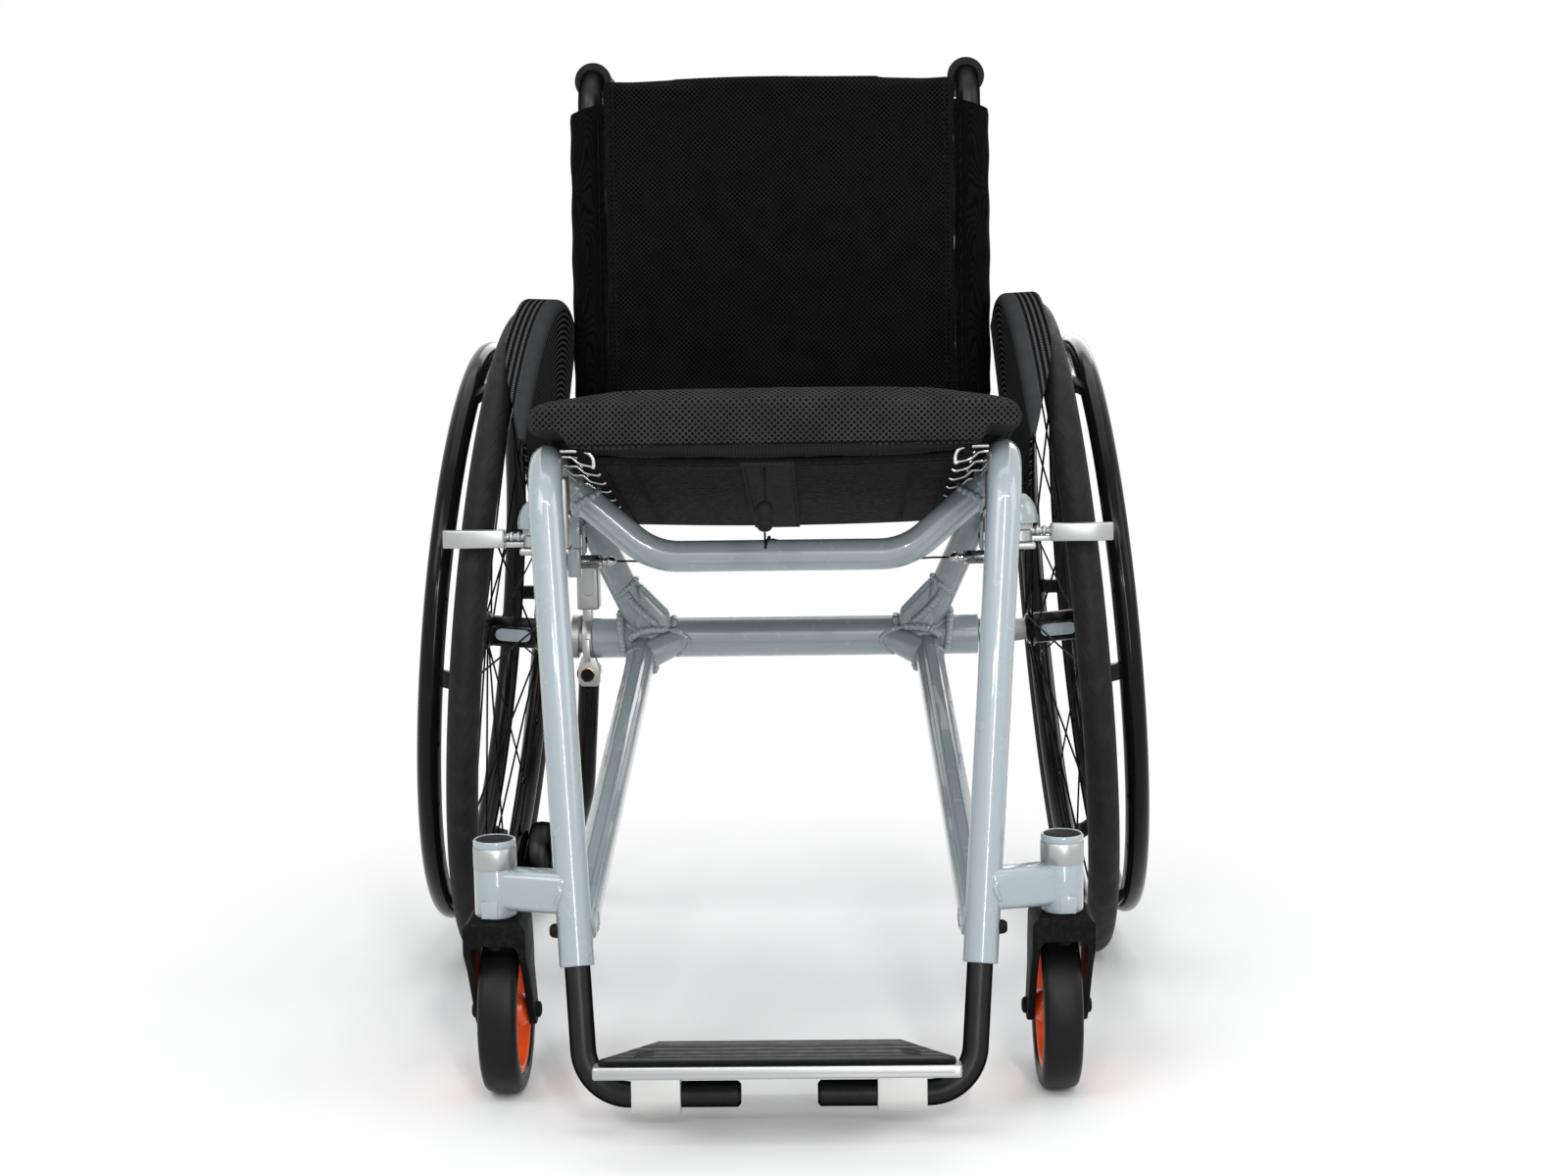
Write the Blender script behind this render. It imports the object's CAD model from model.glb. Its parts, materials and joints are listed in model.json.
"""Looks of the sports wheelchair: dressed pieces, materials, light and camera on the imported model.

Shapes are written as in the part's source: metres, Y zero on the rear axle tube, right side on +X.
"""

import json
import math

import bmesh
import bpy
import numpy as np
from mathutils import Matrix, Vector
from mathutils.bvhtree import BVHTree

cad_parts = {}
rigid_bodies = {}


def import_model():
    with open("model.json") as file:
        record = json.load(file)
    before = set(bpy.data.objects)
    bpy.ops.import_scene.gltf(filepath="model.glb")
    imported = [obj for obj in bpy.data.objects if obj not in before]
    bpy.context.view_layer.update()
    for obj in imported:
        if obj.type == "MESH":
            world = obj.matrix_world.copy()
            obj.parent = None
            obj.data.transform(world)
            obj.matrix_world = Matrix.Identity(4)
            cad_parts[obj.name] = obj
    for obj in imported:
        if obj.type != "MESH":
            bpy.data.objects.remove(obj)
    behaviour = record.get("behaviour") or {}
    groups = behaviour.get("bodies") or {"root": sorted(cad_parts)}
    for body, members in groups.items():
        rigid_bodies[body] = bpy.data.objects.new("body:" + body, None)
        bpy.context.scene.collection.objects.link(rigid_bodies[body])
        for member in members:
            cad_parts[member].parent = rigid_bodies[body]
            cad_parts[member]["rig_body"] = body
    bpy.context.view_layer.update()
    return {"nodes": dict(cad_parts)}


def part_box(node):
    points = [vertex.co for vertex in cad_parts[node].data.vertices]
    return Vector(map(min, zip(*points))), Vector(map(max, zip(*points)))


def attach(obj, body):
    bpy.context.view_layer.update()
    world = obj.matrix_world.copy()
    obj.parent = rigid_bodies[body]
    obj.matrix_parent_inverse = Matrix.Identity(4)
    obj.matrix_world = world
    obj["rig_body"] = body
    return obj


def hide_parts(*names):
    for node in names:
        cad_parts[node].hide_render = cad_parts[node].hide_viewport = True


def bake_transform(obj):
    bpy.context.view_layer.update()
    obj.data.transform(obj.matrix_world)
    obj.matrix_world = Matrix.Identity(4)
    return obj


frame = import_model()

AXLE_Y = 0.1320726
SIDES = ((1, "right"), (-1, "left"))
GAP = 0.0003  # between pieces that touch in the real chair

# Sizes shared with the part's source
WHEEL_R = 0.297
TYRE_R = 0.013
CAMBER = math.radians(4.75)
HUB_X = 0.2517
RIM_R = 0.2724
SPOKES = 24
PUSH_RIM_R = 0.254
PUSH_RIM_OFFSET = 0.0322
PUSH_RIM_TUBE_R = 0.010
PUSH_RIM_TABS = 6
HUB_R = 0.014
HUB_BORE = 0.0067
HUB_IN = -0.0312
HUB_OUT = 0.0262
HUB_POCKETS = 3
AXLE_PIN_R = 0.00635
CASTER_R = 0.0625
CASTER_HALF = 0.015
CASTER_SPOKES = 5
STEM_X = 0.2105
STEM_Y = -0.430
TRAIL = 0.039
FORK_TOP = 0.148
FORK_HALF = 0.0232
HOUSING_R = 0.0158
HOUSING_TOP = 0.2065
ARM_Z = 0.169
TUBE_R = 0.013
SEAT_X = 0.1765
KNEE_Y = -0.352
KNEE_Z = 0.4885
SEAT_SLOPE = 0.25
LEG_END = Vector((0.1476, -0.462, 0.1175))
CROSS_Y = -0.200
CROSS_Z = 0.388
AXLE_TUBE_R = 0.019
AXLE_TUBE_HALF = 0.1765
WHEEL_Z = (WHEEL_R - TYRE_R) * math.cos(CAMBER) + TYRE_R
AXLE_Z = WHEEL_Z - (HUB_X - AXLE_TUBE_HALF) * math.tan(CAMBER)
PLATE_BACK_Y = -0.452
PLATE_FRONT_Y = -0.560
PLATE_BACK_Z = 0.050
PLATE_RISE = math.atan2(0.021, 0.108)
PLATE_BACK_HALF = 0.096
PLATE_FRONT_HALF = 0.129
PLATE_T = 0.006
FOOT_RUN_Z = 0.029
BACK_X = 0.1735
BACK_LOW = Vector((BACK_X, 0.030, 0.370))
BACK_HIGH = Vector((BACK_X, 0.0613, 0.798))
LOCK_Y = -0.080
LOCK_Z = 0.370
BARREL_IN = 0.1590
KNOB_X = -0.0085
KNOB_Y = -0.330
KNOB_TOP = 0.446
KNOB_LENGTH = 0.024
BRAKE_X = 0.1915
BRAKE_Y = -0.280
BRAKE_Z = 0.4075
TIP_X = -0.1812
TIP_BOLT_Z = 0.258
TIP_WHEEL = Vector((-0.246, 0.125, 0.0525))
TIP_WHEEL_HALF = 0.011


# Meshes

def link(name, mesh):
    obj = bpy.data.objects.new(name, mesh)
    bpy.context.scene.collection.objects.link(obj)
    return obj


def from_bmesh(bm):
    mesh = bpy.data.meshes.new("piece")
    bm.to_mesh(mesh)
    bm.free()
    return link("piece", mesh)


def grid(rings, closed_ring=True, closed_run=False, caps=True):
    """A skin over rings of equal point counts."""
    bm = bmesh.new()
    loops = [[bm.verts.new(p) for p in ring] for ring in rings]
    pairs = list(zip(loops, loops[1:]))
    if closed_run:
        pairs.append((loops[-1], loops[0]))
    count = len(loops[0])
    for first, second in pairs:
        for i in range(count if closed_ring else count - 1):
            j = (i + 1) % count
            bm.faces.new((first[i], first[j], second[j], second[i]))
    if caps and closed_ring and not closed_run:
        bm.faces.new(loops[0])
        bm.faces.new(list(reversed(loops[-1])))
    bmesh.ops.recalc_face_normals(bm, faces=bm.faces)
    return from_bmesh(bm)


def sweep(points, radius, sides, closed=False):
    """A round tube along points, in a frame that doesn't twist. The radius may be a list."""
    points = [Vector(p) for p in points]
    count = len(points)
    radii = radius if hasattr(radius, "__len__") else [radius] * count
    tangents = []
    for i in range(count):
        before = points[i - 1] if i or closed else points[0]
        after = points[(i + 1) % count] if i < count - 1 or closed else points[-1]
        tangents.append((after - before).normalized())
    normal = tangents[0].orthogonal().normalized()
    normals = [normal]
    for a, b in zip(tangents, tangents[1:]):
        normal = a.rotation_difference(b) @ normal
        normals.append((normal - b * normal.dot(b)).normalized())
    twist = 0.0
    if closed:
        last = tangents[-1].rotation_difference(tangents[0]) @ normals[-1]
        twist = math.atan2(tangents[0].dot(last.cross(normals[0])), last.dot(normals[0]))
    rings = []
    for i in range(count):
        across = tangents[i].cross(normals[i])
        ring = []
        for k in range(sides):
            a = math.tau * k / sides + twist * i / count
            ring.append(points[i] + (normals[i] * math.cos(a) + across * math.sin(a)) * radii[i])
        rings.append(ring)
    return grid(rings, closed_run=closed)


def turned(profile, steps, closed=False, matrix=None):
    """A solid turned about X from (along, radius) points."""
    rings = []
    for k in range(steps):
        a = math.tau * k / steps
        rings.append([(x, r * math.cos(a), r * math.sin(a)) for x, r in profile])
    obj = grid(rings, closed_ring=closed, closed_run=True, caps=False)
    bm = bmesh.new()
    bm.from_mesh(obj.data)
    bmesh.ops.remove_doubles(bm, verts=bm.verts, dist=1e-6)
    bmesh.ops.recalc_face_normals(bm, faces=bm.faces)
    bm.to_mesh(obj.data)
    bm.free()
    return moved(obj, matrix) if matrix else obj


def rounded(bm, edges, bevel, segments):
    bmesh.ops.bevel(bm, geom=edges, offset=bevel, segments=segments, affect="EDGES", profile=0.5)


def solid(outline, half, matrix, bevel=0.0, segments=2):
    """A plate from a flat outline in local XY, thick along local Z, with rounded edges."""
    bm = bmesh.new()
    low = [bm.verts.new((x, y, -half)) for x, y in outline]
    high = [bm.verts.new((x, y, half)) for x, y in outline]
    bm.faces.new(list(reversed(low)))
    bm.faces.new(high)
    for i in range(len(outline)):
        j = (i + 1) % len(outline)
        bm.faces.new((low[i], low[j], high[j], high[i]))
    bmesh.ops.recalc_face_normals(bm, faces=bm.faces)
    if bevel:
        sharp = [e for e in bm.edges if e.calc_face_angle(0) > math.radians(35)]
        rounded(bm, sharp, bevel, segments)
    return moved(from_bmesh(bm), matrix)


def box(low, high, bevel, segments=2, matrix=None):
    low, high = Vector(low), Vector(high)
    bm = bmesh.new()
    bmesh.ops.create_cube(bm, size=1.0)
    bmesh.ops.scale(bm, vec=high - low, verts=bm.verts)
    bmesh.ops.translate(bm, vec=(high + low) / 2, verts=bm.verts)
    if bevel:
        rounded(bm, bm.edges[:], bevel, segments)
    obj = from_bmesh(bm)
    return moved(obj, matrix) if matrix else obj


def rod(start, end, radius, sides, chamfer=0.0006):
    """A round bar with chamfered ends."""
    start, end = Vector(start), Vector(end)
    run = (end - start).normalized() * chamfer
    points = [start, start + run, end - run, end]
    return sweep(points, [radius - chamfer, radius, radius, radius - chamfer], sides)


def moved(obj, matrix):
    obj.data.transform(matrix)
    if matrix.determinant() < 0:
        obj.data.flip_normals()
    return obj


def merged(*objects):
    """One mesh from several, with their materials kept."""
    bm = bmesh.new()
    slots = []
    for obj in objects:
        start = len(bm.faces)
        bm.from_mesh(obj.data)
        bm.faces.ensure_lookup_table()
        own = list(obj.data.materials) or [None]
        for m in own:
            if m not in slots:
                slots.append(m)
        for face in bm.faces[start:]:
            face.material_index = slots.index(own[min(face.material_index, len(own) - 1)])
        bpy.data.objects.remove(obj, do_unlink=True)
    result = from_bmesh(bm)
    for m in slots:
        if m:
            result.data.materials.append(m)
    return result


def painted(obj, mat):
    obj.data.materials.clear()
    obj.data.materials.append(mat)
    return obj


def add(obj, name, mat, body="frame", stands_for=(), sharp=38):
    """Puts a finished piece on its body, in the row frame."""
    obj.name = name
    obj.data.name = name
    if mat:
        painted(obj, mat)
    moved(obj, Matrix.Translation((0, AXLE_Y, 0)))
    obj.data.shade_smooth()
    obj.data.set_sharp_from_angle(angle=math.radians(sharp))
    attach(obj, body)
    if stands_for:
        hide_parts(*stands_for)
    return obj


def add_pair(obj, name, mat, body="frame", stands_for=(), sharp=38):
    """The right-hand piece and its mirror image; body and nodes may hold {s} for the side."""
    other = moved(link(obj.name, obj.data.copy()), Matrix.Scale(-1, 4, (1, 0, 0)))
    made = []
    for piece, (_, side) in zip((obj, other), SIDES):
        nodes = [n.replace("{s}", side) for n in stands_for]
        own_body = body.replace("{s}", side)
        made.append(add(piece, f"{name}_{side}", mat, own_body, nodes, sharp))
    return made


# Lines

def spaced(low, high, count):
    return [low + (high - low) * i / count for i in range(count + 1)]


def shifted(along, *profile):
    """Profile points moved along the axis."""
    return [(along + x, r) for x, r in profile]


def both_ways(half):
    """The points and their mirror images, with a point on the middle line used once."""
    return half + [(-x, r) for x, r in reversed(half) if x]


def arc(centre, radius, start, end, count):
    turn = (end - start) / (count - 1)
    angles = [math.radians(start + turn * i) for i in range(count)]
    return [(centre[0] + radius * math.cos(a), centre[1] + radius * math.sin(a)) for a in angles]


def oval(reach, radius, count):
    """Outline of a slot with round ends, their centres this far from the middle."""
    return arc((reach, 0), radius, -90, 90, count) + arc((-reach, 0), radius, 90, 270, count)


def filleted(points, radius, steps):
    """A line whose inner corners are rounded."""
    points = [Vector(p) for p in points]
    line = [points[0]]
    for before, corner, after in zip(points, points[1:], points[2:]):
        back = (before - corner).normalized()
        ahead = (after - corner).normalized()
        half = back.angle(ahead) / 2
        reach = radius / math.tan(half)
        centre = corner + (back + ahead).normalized() * radius / math.sin(half)
        start = (corner + back * reach - centre).normalized()
        end = (corner + ahead * reach - centre).normalized()
        line += [centre + start.slerp(end, i / steps) * radius for i in range(steps + 1)]
    line.append(points[-1])
    return line


def catmull(a, b, c, d, t):
    """A point between b and c on the smooth line through all four."""
    return 0.5 * (2 * b + (c - a) * t + (2 * a - 5 * b + 4 * c - d) * t * t
                  + (3 * b - 3 * c + d - a) * t * t * t)


def smooth_path(points, steps):
    """A Catmull-Rom line through the points."""
    points = [Vector(p) for p in points]
    padded = [2 * points[0] - points[1], *points, 2 * points[-1] - points[-2]]
    line = []
    for four in zip(padded, padded[1:], padded[2:], padded[3:]):
        line += [catmull(*four, i / steps) for i in range(steps)]
    line.append(points[-1])
    return line


def smooth_radii(*radii, count):
    """Radii for a path from smooth_path with the same points and count."""
    return [p.x for p in smooth_path([(r, 0, 0) for r in radii], count)]


def spin(degrees, axis):
    return Matrix.Rotation(math.radians(degrees), 4, axis)


def side_plane(x):
    """Local X, Y and Z become the chair's Y, Z and X, at this X."""
    return Matrix(((0, 0, 1, x), (1, 0, 0, 0), (0, 1, 0, 0), (0, 0, 0, 1)))


def front_plane(y):
    """Local X and Y become the chair's X and Z, and local Z its -Y, at this Y."""
    return Matrix(((1, 0, 0, 0), (0, 0, -1, y), (0, 1, 0, 0), (0, 0, 0, 1)))


def upright(x, y):
    """Turns a solid about X into one about Z at this place."""
    return Matrix.Translation((x, y, 0)) @ spin(-90, "Y")


def seat_z(y):
    return KNEE_Z - SEAT_SLOPE * (y - KNEE_Y)


def knee():
    return Vector((SEAT_X, KNEE_Y, KNEE_Z))


def leg_point(z):
    top = knee()
    return top + (LEG_END - top) * (top.z - z) / (top.z - LEG_END.z)


def wheel_frame():
    return Matrix.Translation((HUB_X, 0, WHEEL_Z)) @ Matrix.Rotation(-CAMBER, 4, "Y")


def bead(main_point, main_axis, main_r, branch_point, branch_axis, branch_r, size):
    """Weld bead along the line where a branch tube meets a main tube."""
    a = Vector(main_axis).normalized()
    b = Vector(branch_axis).normalized()
    e1 = b.orthogonal().normalized()
    e2 = b.cross(e1)
    b_flat = b - a * b.dot(a)
    reach = b_flat.length_squared
    line = []
    steps = 72
    for k in range(steps):
        t = math.tau * k / steps
        start = Vector(branch_point) + (e1 * math.cos(t) + e2 * math.sin(t)) * branch_r
        q = start - Vector(main_point)
        q = q - a * q.dot(a)
        inside = max(q.dot(b_flat) ** 2 - reach * (q.length_squared - main_r ** 2), 0)
        line.append(start + b * (-q.dot(b_flat) + math.sqrt(inside)) / reach)
    ripples = round(math.tau * branch_r / 0.0042)
    radii = [size * (1 + 0.10 * math.cos(math.tau * ripples * k / steps)) for k in range(steps)]
    return sweep(line, radii, 10, closed=True)


# Materials

def shader(name, colour, rough, metallic=0.0, **inputs):
    mat = bpy.data.materials.new(name)
    mat.use_nodes = True
    base = mat.node_tree.nodes["Principled BSDF"]
    base.inputs["Base Color"].default_value = (*colour, 1.0)
    base.inputs["Roughness"].default_value = rough
    base.inputs["Metallic"].default_value = metallic
    for key, value in inputs.items():
        base.inputs[key.replace("_", " ")].default_value = value
    return mat


def node(mat, kind, *inputs, output=0, **props):
    made = mat.node_tree.nodes.new("ShaderNode" + kind)
    for key, value in props.items():
        setattr(made, key, value)
    for i, value in enumerate(inputs):
        if isinstance(value, bpy.types.NodeSocket):
            mat.node_tree.links.new(value, made.inputs[i])
        elif value is not None:
            made.inputs[i].default_value = value
    return made.outputs[output]


def maths(mat, operation, a, b=None):
    return node(mat, "Math", a, b, operation=operation)


def times(mat, a, b):
    return maths(mat, "MULTIPLY", a, b)


def plus(mat, a, b):
    return maths(mat, "ADD", a, b)


def minus(mat, a, b):
    return maths(mat, "SUBTRACT", a, b)


def wave(mat, value, rate):
    """Sine of a value times a rate."""
    return maths(mat, "SINE", times(mat, value, rate))


def parts(mat, vector):
    """The X, Y and Z sockets of a vector."""
    return node(mat, "SeparateXYZ", vector).node.outputs


def place_of(mat):
    """Where a point is on the piece, in the row frame at rest."""
    return node(mat, "TexCoord", output=3)


def noise(mat, scale, detail=3.0, where=None):
    made = node(mat, "TexNoise").node
    made.inputs["Scale"].default_value = scale
    made.inputs["Detail"].default_value = detail
    mat.node_tree.links.new(where or place_of(mat), made.inputs["Vector"])
    return made.outputs[0]


def ranged(mat, value, low, high, to_low=0.0, to_high=1.0):
    return node(mat, "MapRange", value, low, high, to_low, to_high)


def blend_colour(mat, factor, a, b):
    made = mat.node_tree.nodes.new("ShaderNodeMix")
    made.data_type = "RGBA"
    mat.node_tree.links.new(factor, made.inputs[0])
    for socket, value in ((made.inputs[6], a), (made.inputs[7], b)):
        if isinstance(value, bpy.types.NodeSocket):
            mat.node_tree.links.new(value, socket)
        else:
            socket.default_value = (*value, 1.0)
    return made.outputs[2]


def feed(mat, name, socket):
    mat.node_tree.links.new(socket, mat.node_tree.nodes["Principled BSDF"].inputs[name])


def relief(mat, height, distance, strength):
    """Bump from a height, chained after any bump that the material already has."""
    normal = mat.node_tree.nodes["Principled BSDF"].inputs["Normal"]
    made = node(mat, "Bump").node
    made.inputs["Strength"].default_value = strength
    made.inputs["Distance"].default_value = distance
    mat.node_tree.links.new(height, made.inputs["Height"])
    if normal.links:
        mat.node_tree.links.new(normal.links[0].from_socket, made.inputs["Normal"])
    mat.node_tree.links.new(made.outputs[0], normal)


def worn(mat, colour, edge, amount):
    """Slight colour variation, and a paler colour along rubbed edges."""
    soft = ranged(mat, noise(mat, 40), 0.35, 0.65)
    dull = blend_colour(mat, soft, [c * 0.93 for c in colour], [c * 1.05 for c in colour])
    point = node(mat, "NewGeometry", output=7)
    patches = ranged(mat, noise(mat, 220), 0.45, 0.7, 0, amount)
    rubbed = times(mat, ranged(mat, point, 0.53, 0.60), patches)
    feed(mat, "Base Color", blend_colour(mat, rubbed, dull, edge))


def rough_noise(mat, low, high, scale=60):
    feed(mat, "Roughness", ranged(mat, noise(mat, scale), 0.3, 0.7, low, high))


def grain(mat, scale, detail, distance, strength):
    relief(mat, noise(mat, scale, detail), distance, strength)
    return mat


def frame_paint():
    mat = shader("frame_paint", (0.30, 0.355, 0.38), 0.28, Coat_Weight=1.0, Coat_Roughness=0.03)
    cloud = ranged(mat, noise(mat, 9, 2.0), 0.3, 0.7)
    shades = (0.294, 0.349, 0.373), (0.303, 0.358, 0.383)
    feed(mat, "Base Color", blend_colour(mat, cloud, *shades))
    rough_noise(mat, 0.24, 0.28)
    return grain(mat, 420, 2.0, 0.00006, 0.5)


def black_metal(name="black_metal", level=0.007, low=0.28, high=0.36, gloss=0.07):
    colour = (level, level, level * 1.05)
    mat = shader(name, colour, 0.35, Specular_IOR_Level=gloss)
    worn(mat, colour, (0.05, 0.05, 0.05), 0.3)
    rough_noise(mat, low, high)
    return grain(mat, 900, 2.0, 0.00004, 0.5)


def anodised(name, level, low, high):
    """Black coated tube: a soft highlight in its middle, dark towards its edges."""
    mat = shader(name, (level,) * 3, low, 1.0, Specular_Tint=(0.02, 0.02, 0.02, 1.0))
    worn(mat, (level, level, level * 1.04), (0.06, 0.06, 0.06), 0.3)
    rough_noise(mat, low, high)
    return grain(mat, 900, 2.0, 0.00003, 0.4)


def silver_metal(name, colour, low, high, stretch):
    """Machined aluminium with faint lines along one axis."""
    mat = shader(name, colour, 0.3, 1.0)
    where = node(mat, "Mapping", place_of(mat), None, None, stretch)
    lines = noise(mat, 160, 3.0, where)
    shade = ranged(mat, lines, 0.3, 0.7)
    feed(mat, "Base Color", blend_colour(mat, shade, [c * 0.97 for c in colour], colour))
    feed(mat, "Roughness", ranged(mat, lines, 0.3, 0.7, low, high))
    relief(mat, lines, 0.000002, 0.2)
    return mat


def rubber(name="rubber", level=0.013, low=0.55, high=0.8, gloss=0.1):
    colour = (level,) * 3
    mat = shader(name, colour, 0.7, Specular_IOR_Level=gloss)
    worn(mat, colour, (0.04, 0.04, 0.04), 0.4)
    rough_noise(mat, low, high, 90)
    return grain(mat, 1400, 3.0, 0.00008, 0.6)


def orange_plastic():
    colour = (0.80, 0.095, 0.006)
    mat = shader("orange_plastic", colour, 0.35, Coat_Weight=0.2)
    worn(mat, colour, (0.9, 0.2, 0.04), 0.4)
    rough_noise(mat, 0.28, 0.45)
    return grain(mat, 700, 2.0, 0.00005, 0.5)


def root_of_squares(mat, a, b):
    return maths(mat, "SQRT", plus(mat, times(mat, a, a), times(mat, b, b)))


def around(mat, side):
    """(distance outboard, angle, radius) sockets about a cambered wheel's axis."""
    g = 1 if side == "right" else -1
    mapping = node(mat, "Mapping", place_of(mat), vector_type="TEXTURE").node
    mapping.inputs["Location"].default_value = (g * HUB_X, AXLE_Y, WHEEL_Z)
    mapping.inputs["Rotation"].default_value = (0, -CAMBER * g, 0)
    x, y, z = parts(mat, mapping.outputs[0])
    return times(mat, x, g), maths(mat, "ARCTAN2", z, y), root_of_squares(mat, y, z)


def tyre_rubber(side):
    """Black road tyre: slick crown, small slanted sipes on the shoulders, ribbed sidewall."""
    mat = shader(f"tyre_tread_{side}", (0.016, 0.016, 0.017), 0.62, Specular_IOR_Level=0.1)
    x, angle, radius = around(mat, side)
    off = maths(mat, "ABSOLUTE", x)
    slant = plus(mat, times(mat, angle, 130.0), times(mat, off, 900.0))
    sipes = ranged(mat, maths(mat, "SINE", slant), 0.80, 0.95)
    shoulder = times(mat, ranged(mat, off, 0.0020, 0.0030), ranged(mat, off, 0.0105, 0.0095))
    sipe = times(mat, sipes, times(mat, shoulder, ranged(mat, radius, 0.284, 0.287)))
    side_rings = times(mat, wave(mat, radius, 5200.0), ranged(mat, radius, 0.283, 0.279, 0, 0.25))
    relief(mat, minus(mat, side_rings, sipe), 0.00022, 0.6)
    grain(mat, 1500, 3.0, 0.00005, 0.5)
    dust = ranged(mat, noise(mat, 60, 5.0), 0.45, 0.75)
    colour = blend_colour(mat, dust, (0.012, 0.012, 0.0125), (0.020, 0.0195, 0.019))
    hollow = (0.007, 0.007, 0.007)
    feed(mat, "Base Color", blend_colour(mat, times(mat, sipe, 0.6), colour, hollow))
    rough_noise(mat, 0.5, 0.65, 80)
    return mat


def mesh_fabric(name, level, pitch, depth, hollow):
    """Black spacer mesh: staggered cells drawn on whichever plane the cloth faces."""
    shade = Vector((level, level, level * 1.02))
    mat = shader(name, shade, 0.85, Sheen_Weight=0.015, Sheen_Roughness=0.5,
                 Specular_IOR_Level=0.01)
    coords = node(mat, "TexCoord").node.outputs
    waves = [wave(mat, s, math.tau / pitch) for s in parts(mat, coords["Object"])]
    weights = [maths(mat, "POWER", maths(mat, "ABSOLUTE", s), 3.0)
               for s in parts(mat, coords["Normal"])]
    cells = None
    for i, (a, b) in enumerate(((1, 2), (0, 2), (0, 1))):
        cell = times(mat, times(mat, waves[a], waves[b]), weights[i])
        cells = cell if cells is None else plus(mat, cells, cell)
    holes = ranged(mat, cells, -0.05, 0.45)
    relief(mat, minus(mat, 1.0, holes), depth, 0.9)
    grain(mat, 2600, 2.0, 0.0001, 0.6)
    patch = ranged(mat, noise(mat, 45), 0.35, 0.65)
    yarn = blend_colour(mat, patch, shade * 0.85, shade * 1.15)
    feed(mat, "Base Color", blend_colour(mat, holes, yarn, [level * hollow] * 3))
    feed(mat, "Roughness", ranged(mat, holes, 0, 1, 0.8, 0.95))
    return mat


def webbing(name, level, across, along):
    """Woven strap or coated cloth with fine ribs."""
    mat = shader(name, (level, level, level), 0.7, Specular_IOR_Level=0.02)
    u, v, _ = parts(mat, place_of(mat))
    a, b = wave(mat, u, math.tau / along), wave(mat, v, math.tau / across)
    weave = plus(mat, times(mat, a, b), times(mat, b, 0.6))
    relief(mat, weave, 0.0004, 0.9)
    high = ranged(mat, weave, -0.6, 1.2)
    feed(mat, "Base Color", blend_colour(mat, high, [level * 0.25] * 3, [level * 1.9] * 3))
    rough_noise(mat, 0.6, 0.8, 200)
    return mat


def carbon_weave(side):
    """Dark laminate with rows of short pale dashes; smooth and greyer along its rolled top."""
    mat = shader(f"carbon_{side}", (0.008, 0.008, 0.0085), 0.5, Specular_IOR_Level=0.0)
    outboard, angle, radius = around(mat, side)
    row = maths(mat, "DIVIDE", minus(mat, outboard, radius), 0.0052)
    step = plus(mat, maths(mat, "DIVIDE", times(mat, angle, WHEEL_R), 0.0023),
                times(mat, maths(mat, "FLOOR", row), 0.5))
    in_row, in_step = (maths(mat, "ABSOLUTE", minus(mat, maths(mat, "FRACT", value), 0.5))
                       for value in (row, step))
    dash = times(mat, ranged(mat, in_row, 0.26, 0.16), ranged(mat, in_step, 0.34, 0.20))
    roll = times(mat, ranged(mat, outboard, -0.0165, -0.0200),
                 ranged(mat, radius, 0.2965, 0.2990))
    cloud = ranged(mat, noise(mat, 90), 0.3, 0.7)
    plain = blend_colour(mat, cloud, (0.036, 0.037, 0.038), (0.044, 0.045, 0.046))
    woven = blend_colour(mat, dash, (0.0060, 0.0060, 0.0065), (0.110, 0.110, 0.112))
    feed(mat, "Base Color", blend_colour(mat, roll, woven, plain))
    relief(mat, times(mat, dash, minus(mat, 1.0, roll)), 0.0002, 0.5)
    rough_noise(mat, 0.45, 0.55)
    return mat


PAINT = frame_paint()
BLACK = black_metal()
GLOSS_BLACK = black_metal("gloss_black", 0.005, 0.10, 0.18, 0.12)
SPOKE_BLACK = black_metal("spoke_black", 0.004, 0.40, 0.50, 0.01)
FORK_BLACK = black_metal("fork_black", 0.0065, 0.42, 0.50, 0.02)
SATIN = anodised("satin_black", 0.026, 0.36, 0.42)
SILVER = silver_metal("silver", (0.42, 0.42, 0.415), 0.38, 0.46, (1, 1, 4))
BRIGHT = silver_metal("bright_silver", (0.43, 0.44, 0.44), 0.34, 0.42, (14, 1, 1))
STEEL = silver_metal("polished_steel", (0.62, 0.61, 0.59), 0.12, 0.22, (1, 1, 1))
PALE = silver_metal("pale_silver", (0.72, 0.72, 0.71), 0.42, 0.5, (1, 1, 4))
BRASS = silver_metal("brass", (0.42, 0.29, 0.12), 0.2, 0.3, (1, 1, 1))
DARK_CHROME = silver_metal("dark_chrome", (0.16, 0.16, 0.165), 0.12, 0.22, (14, 1, 1))
RUBBER = rubber()
IVORY = rubber("ivory_washer", 0.46, 0.4, 0.5)
TREAD_RUBBER = rubber("tread_rubber", 0.026, 0.45, 0.6)
CASTER_RUBBER = rubber("caster_rubber", 0.008, 0.34, 0.44, 0.13)
GRIP = rubber("grip_rubber", 0.010, 0.45, 0.6)
ORANGE = orange_plastic()
SEAT_MESH = mesh_fabric("seat_mesh", 0.033, 0.0048, 0.0008, 0.12)
BACK_MESH = mesh_fabric("back_mesh", 0.0085, 0.0044, 0.0007, 0.10)
BINDING = webbing("binding", 0.011, 0.0009, 0.0016)
SLING_CLOTH = webbing("sling_cloth", 0.012, 0.0120, 0.0024)
STRAP = webbing("strap_webbing", 0.030, 0.0012, 0.0022)
BAND = webbing("border_band", 0.014, 0.0300, 0.0026)
WRAP_CLOTH = webbing("sleeve_cloth", 0.0055, 0.0008, 0.0010)
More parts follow.
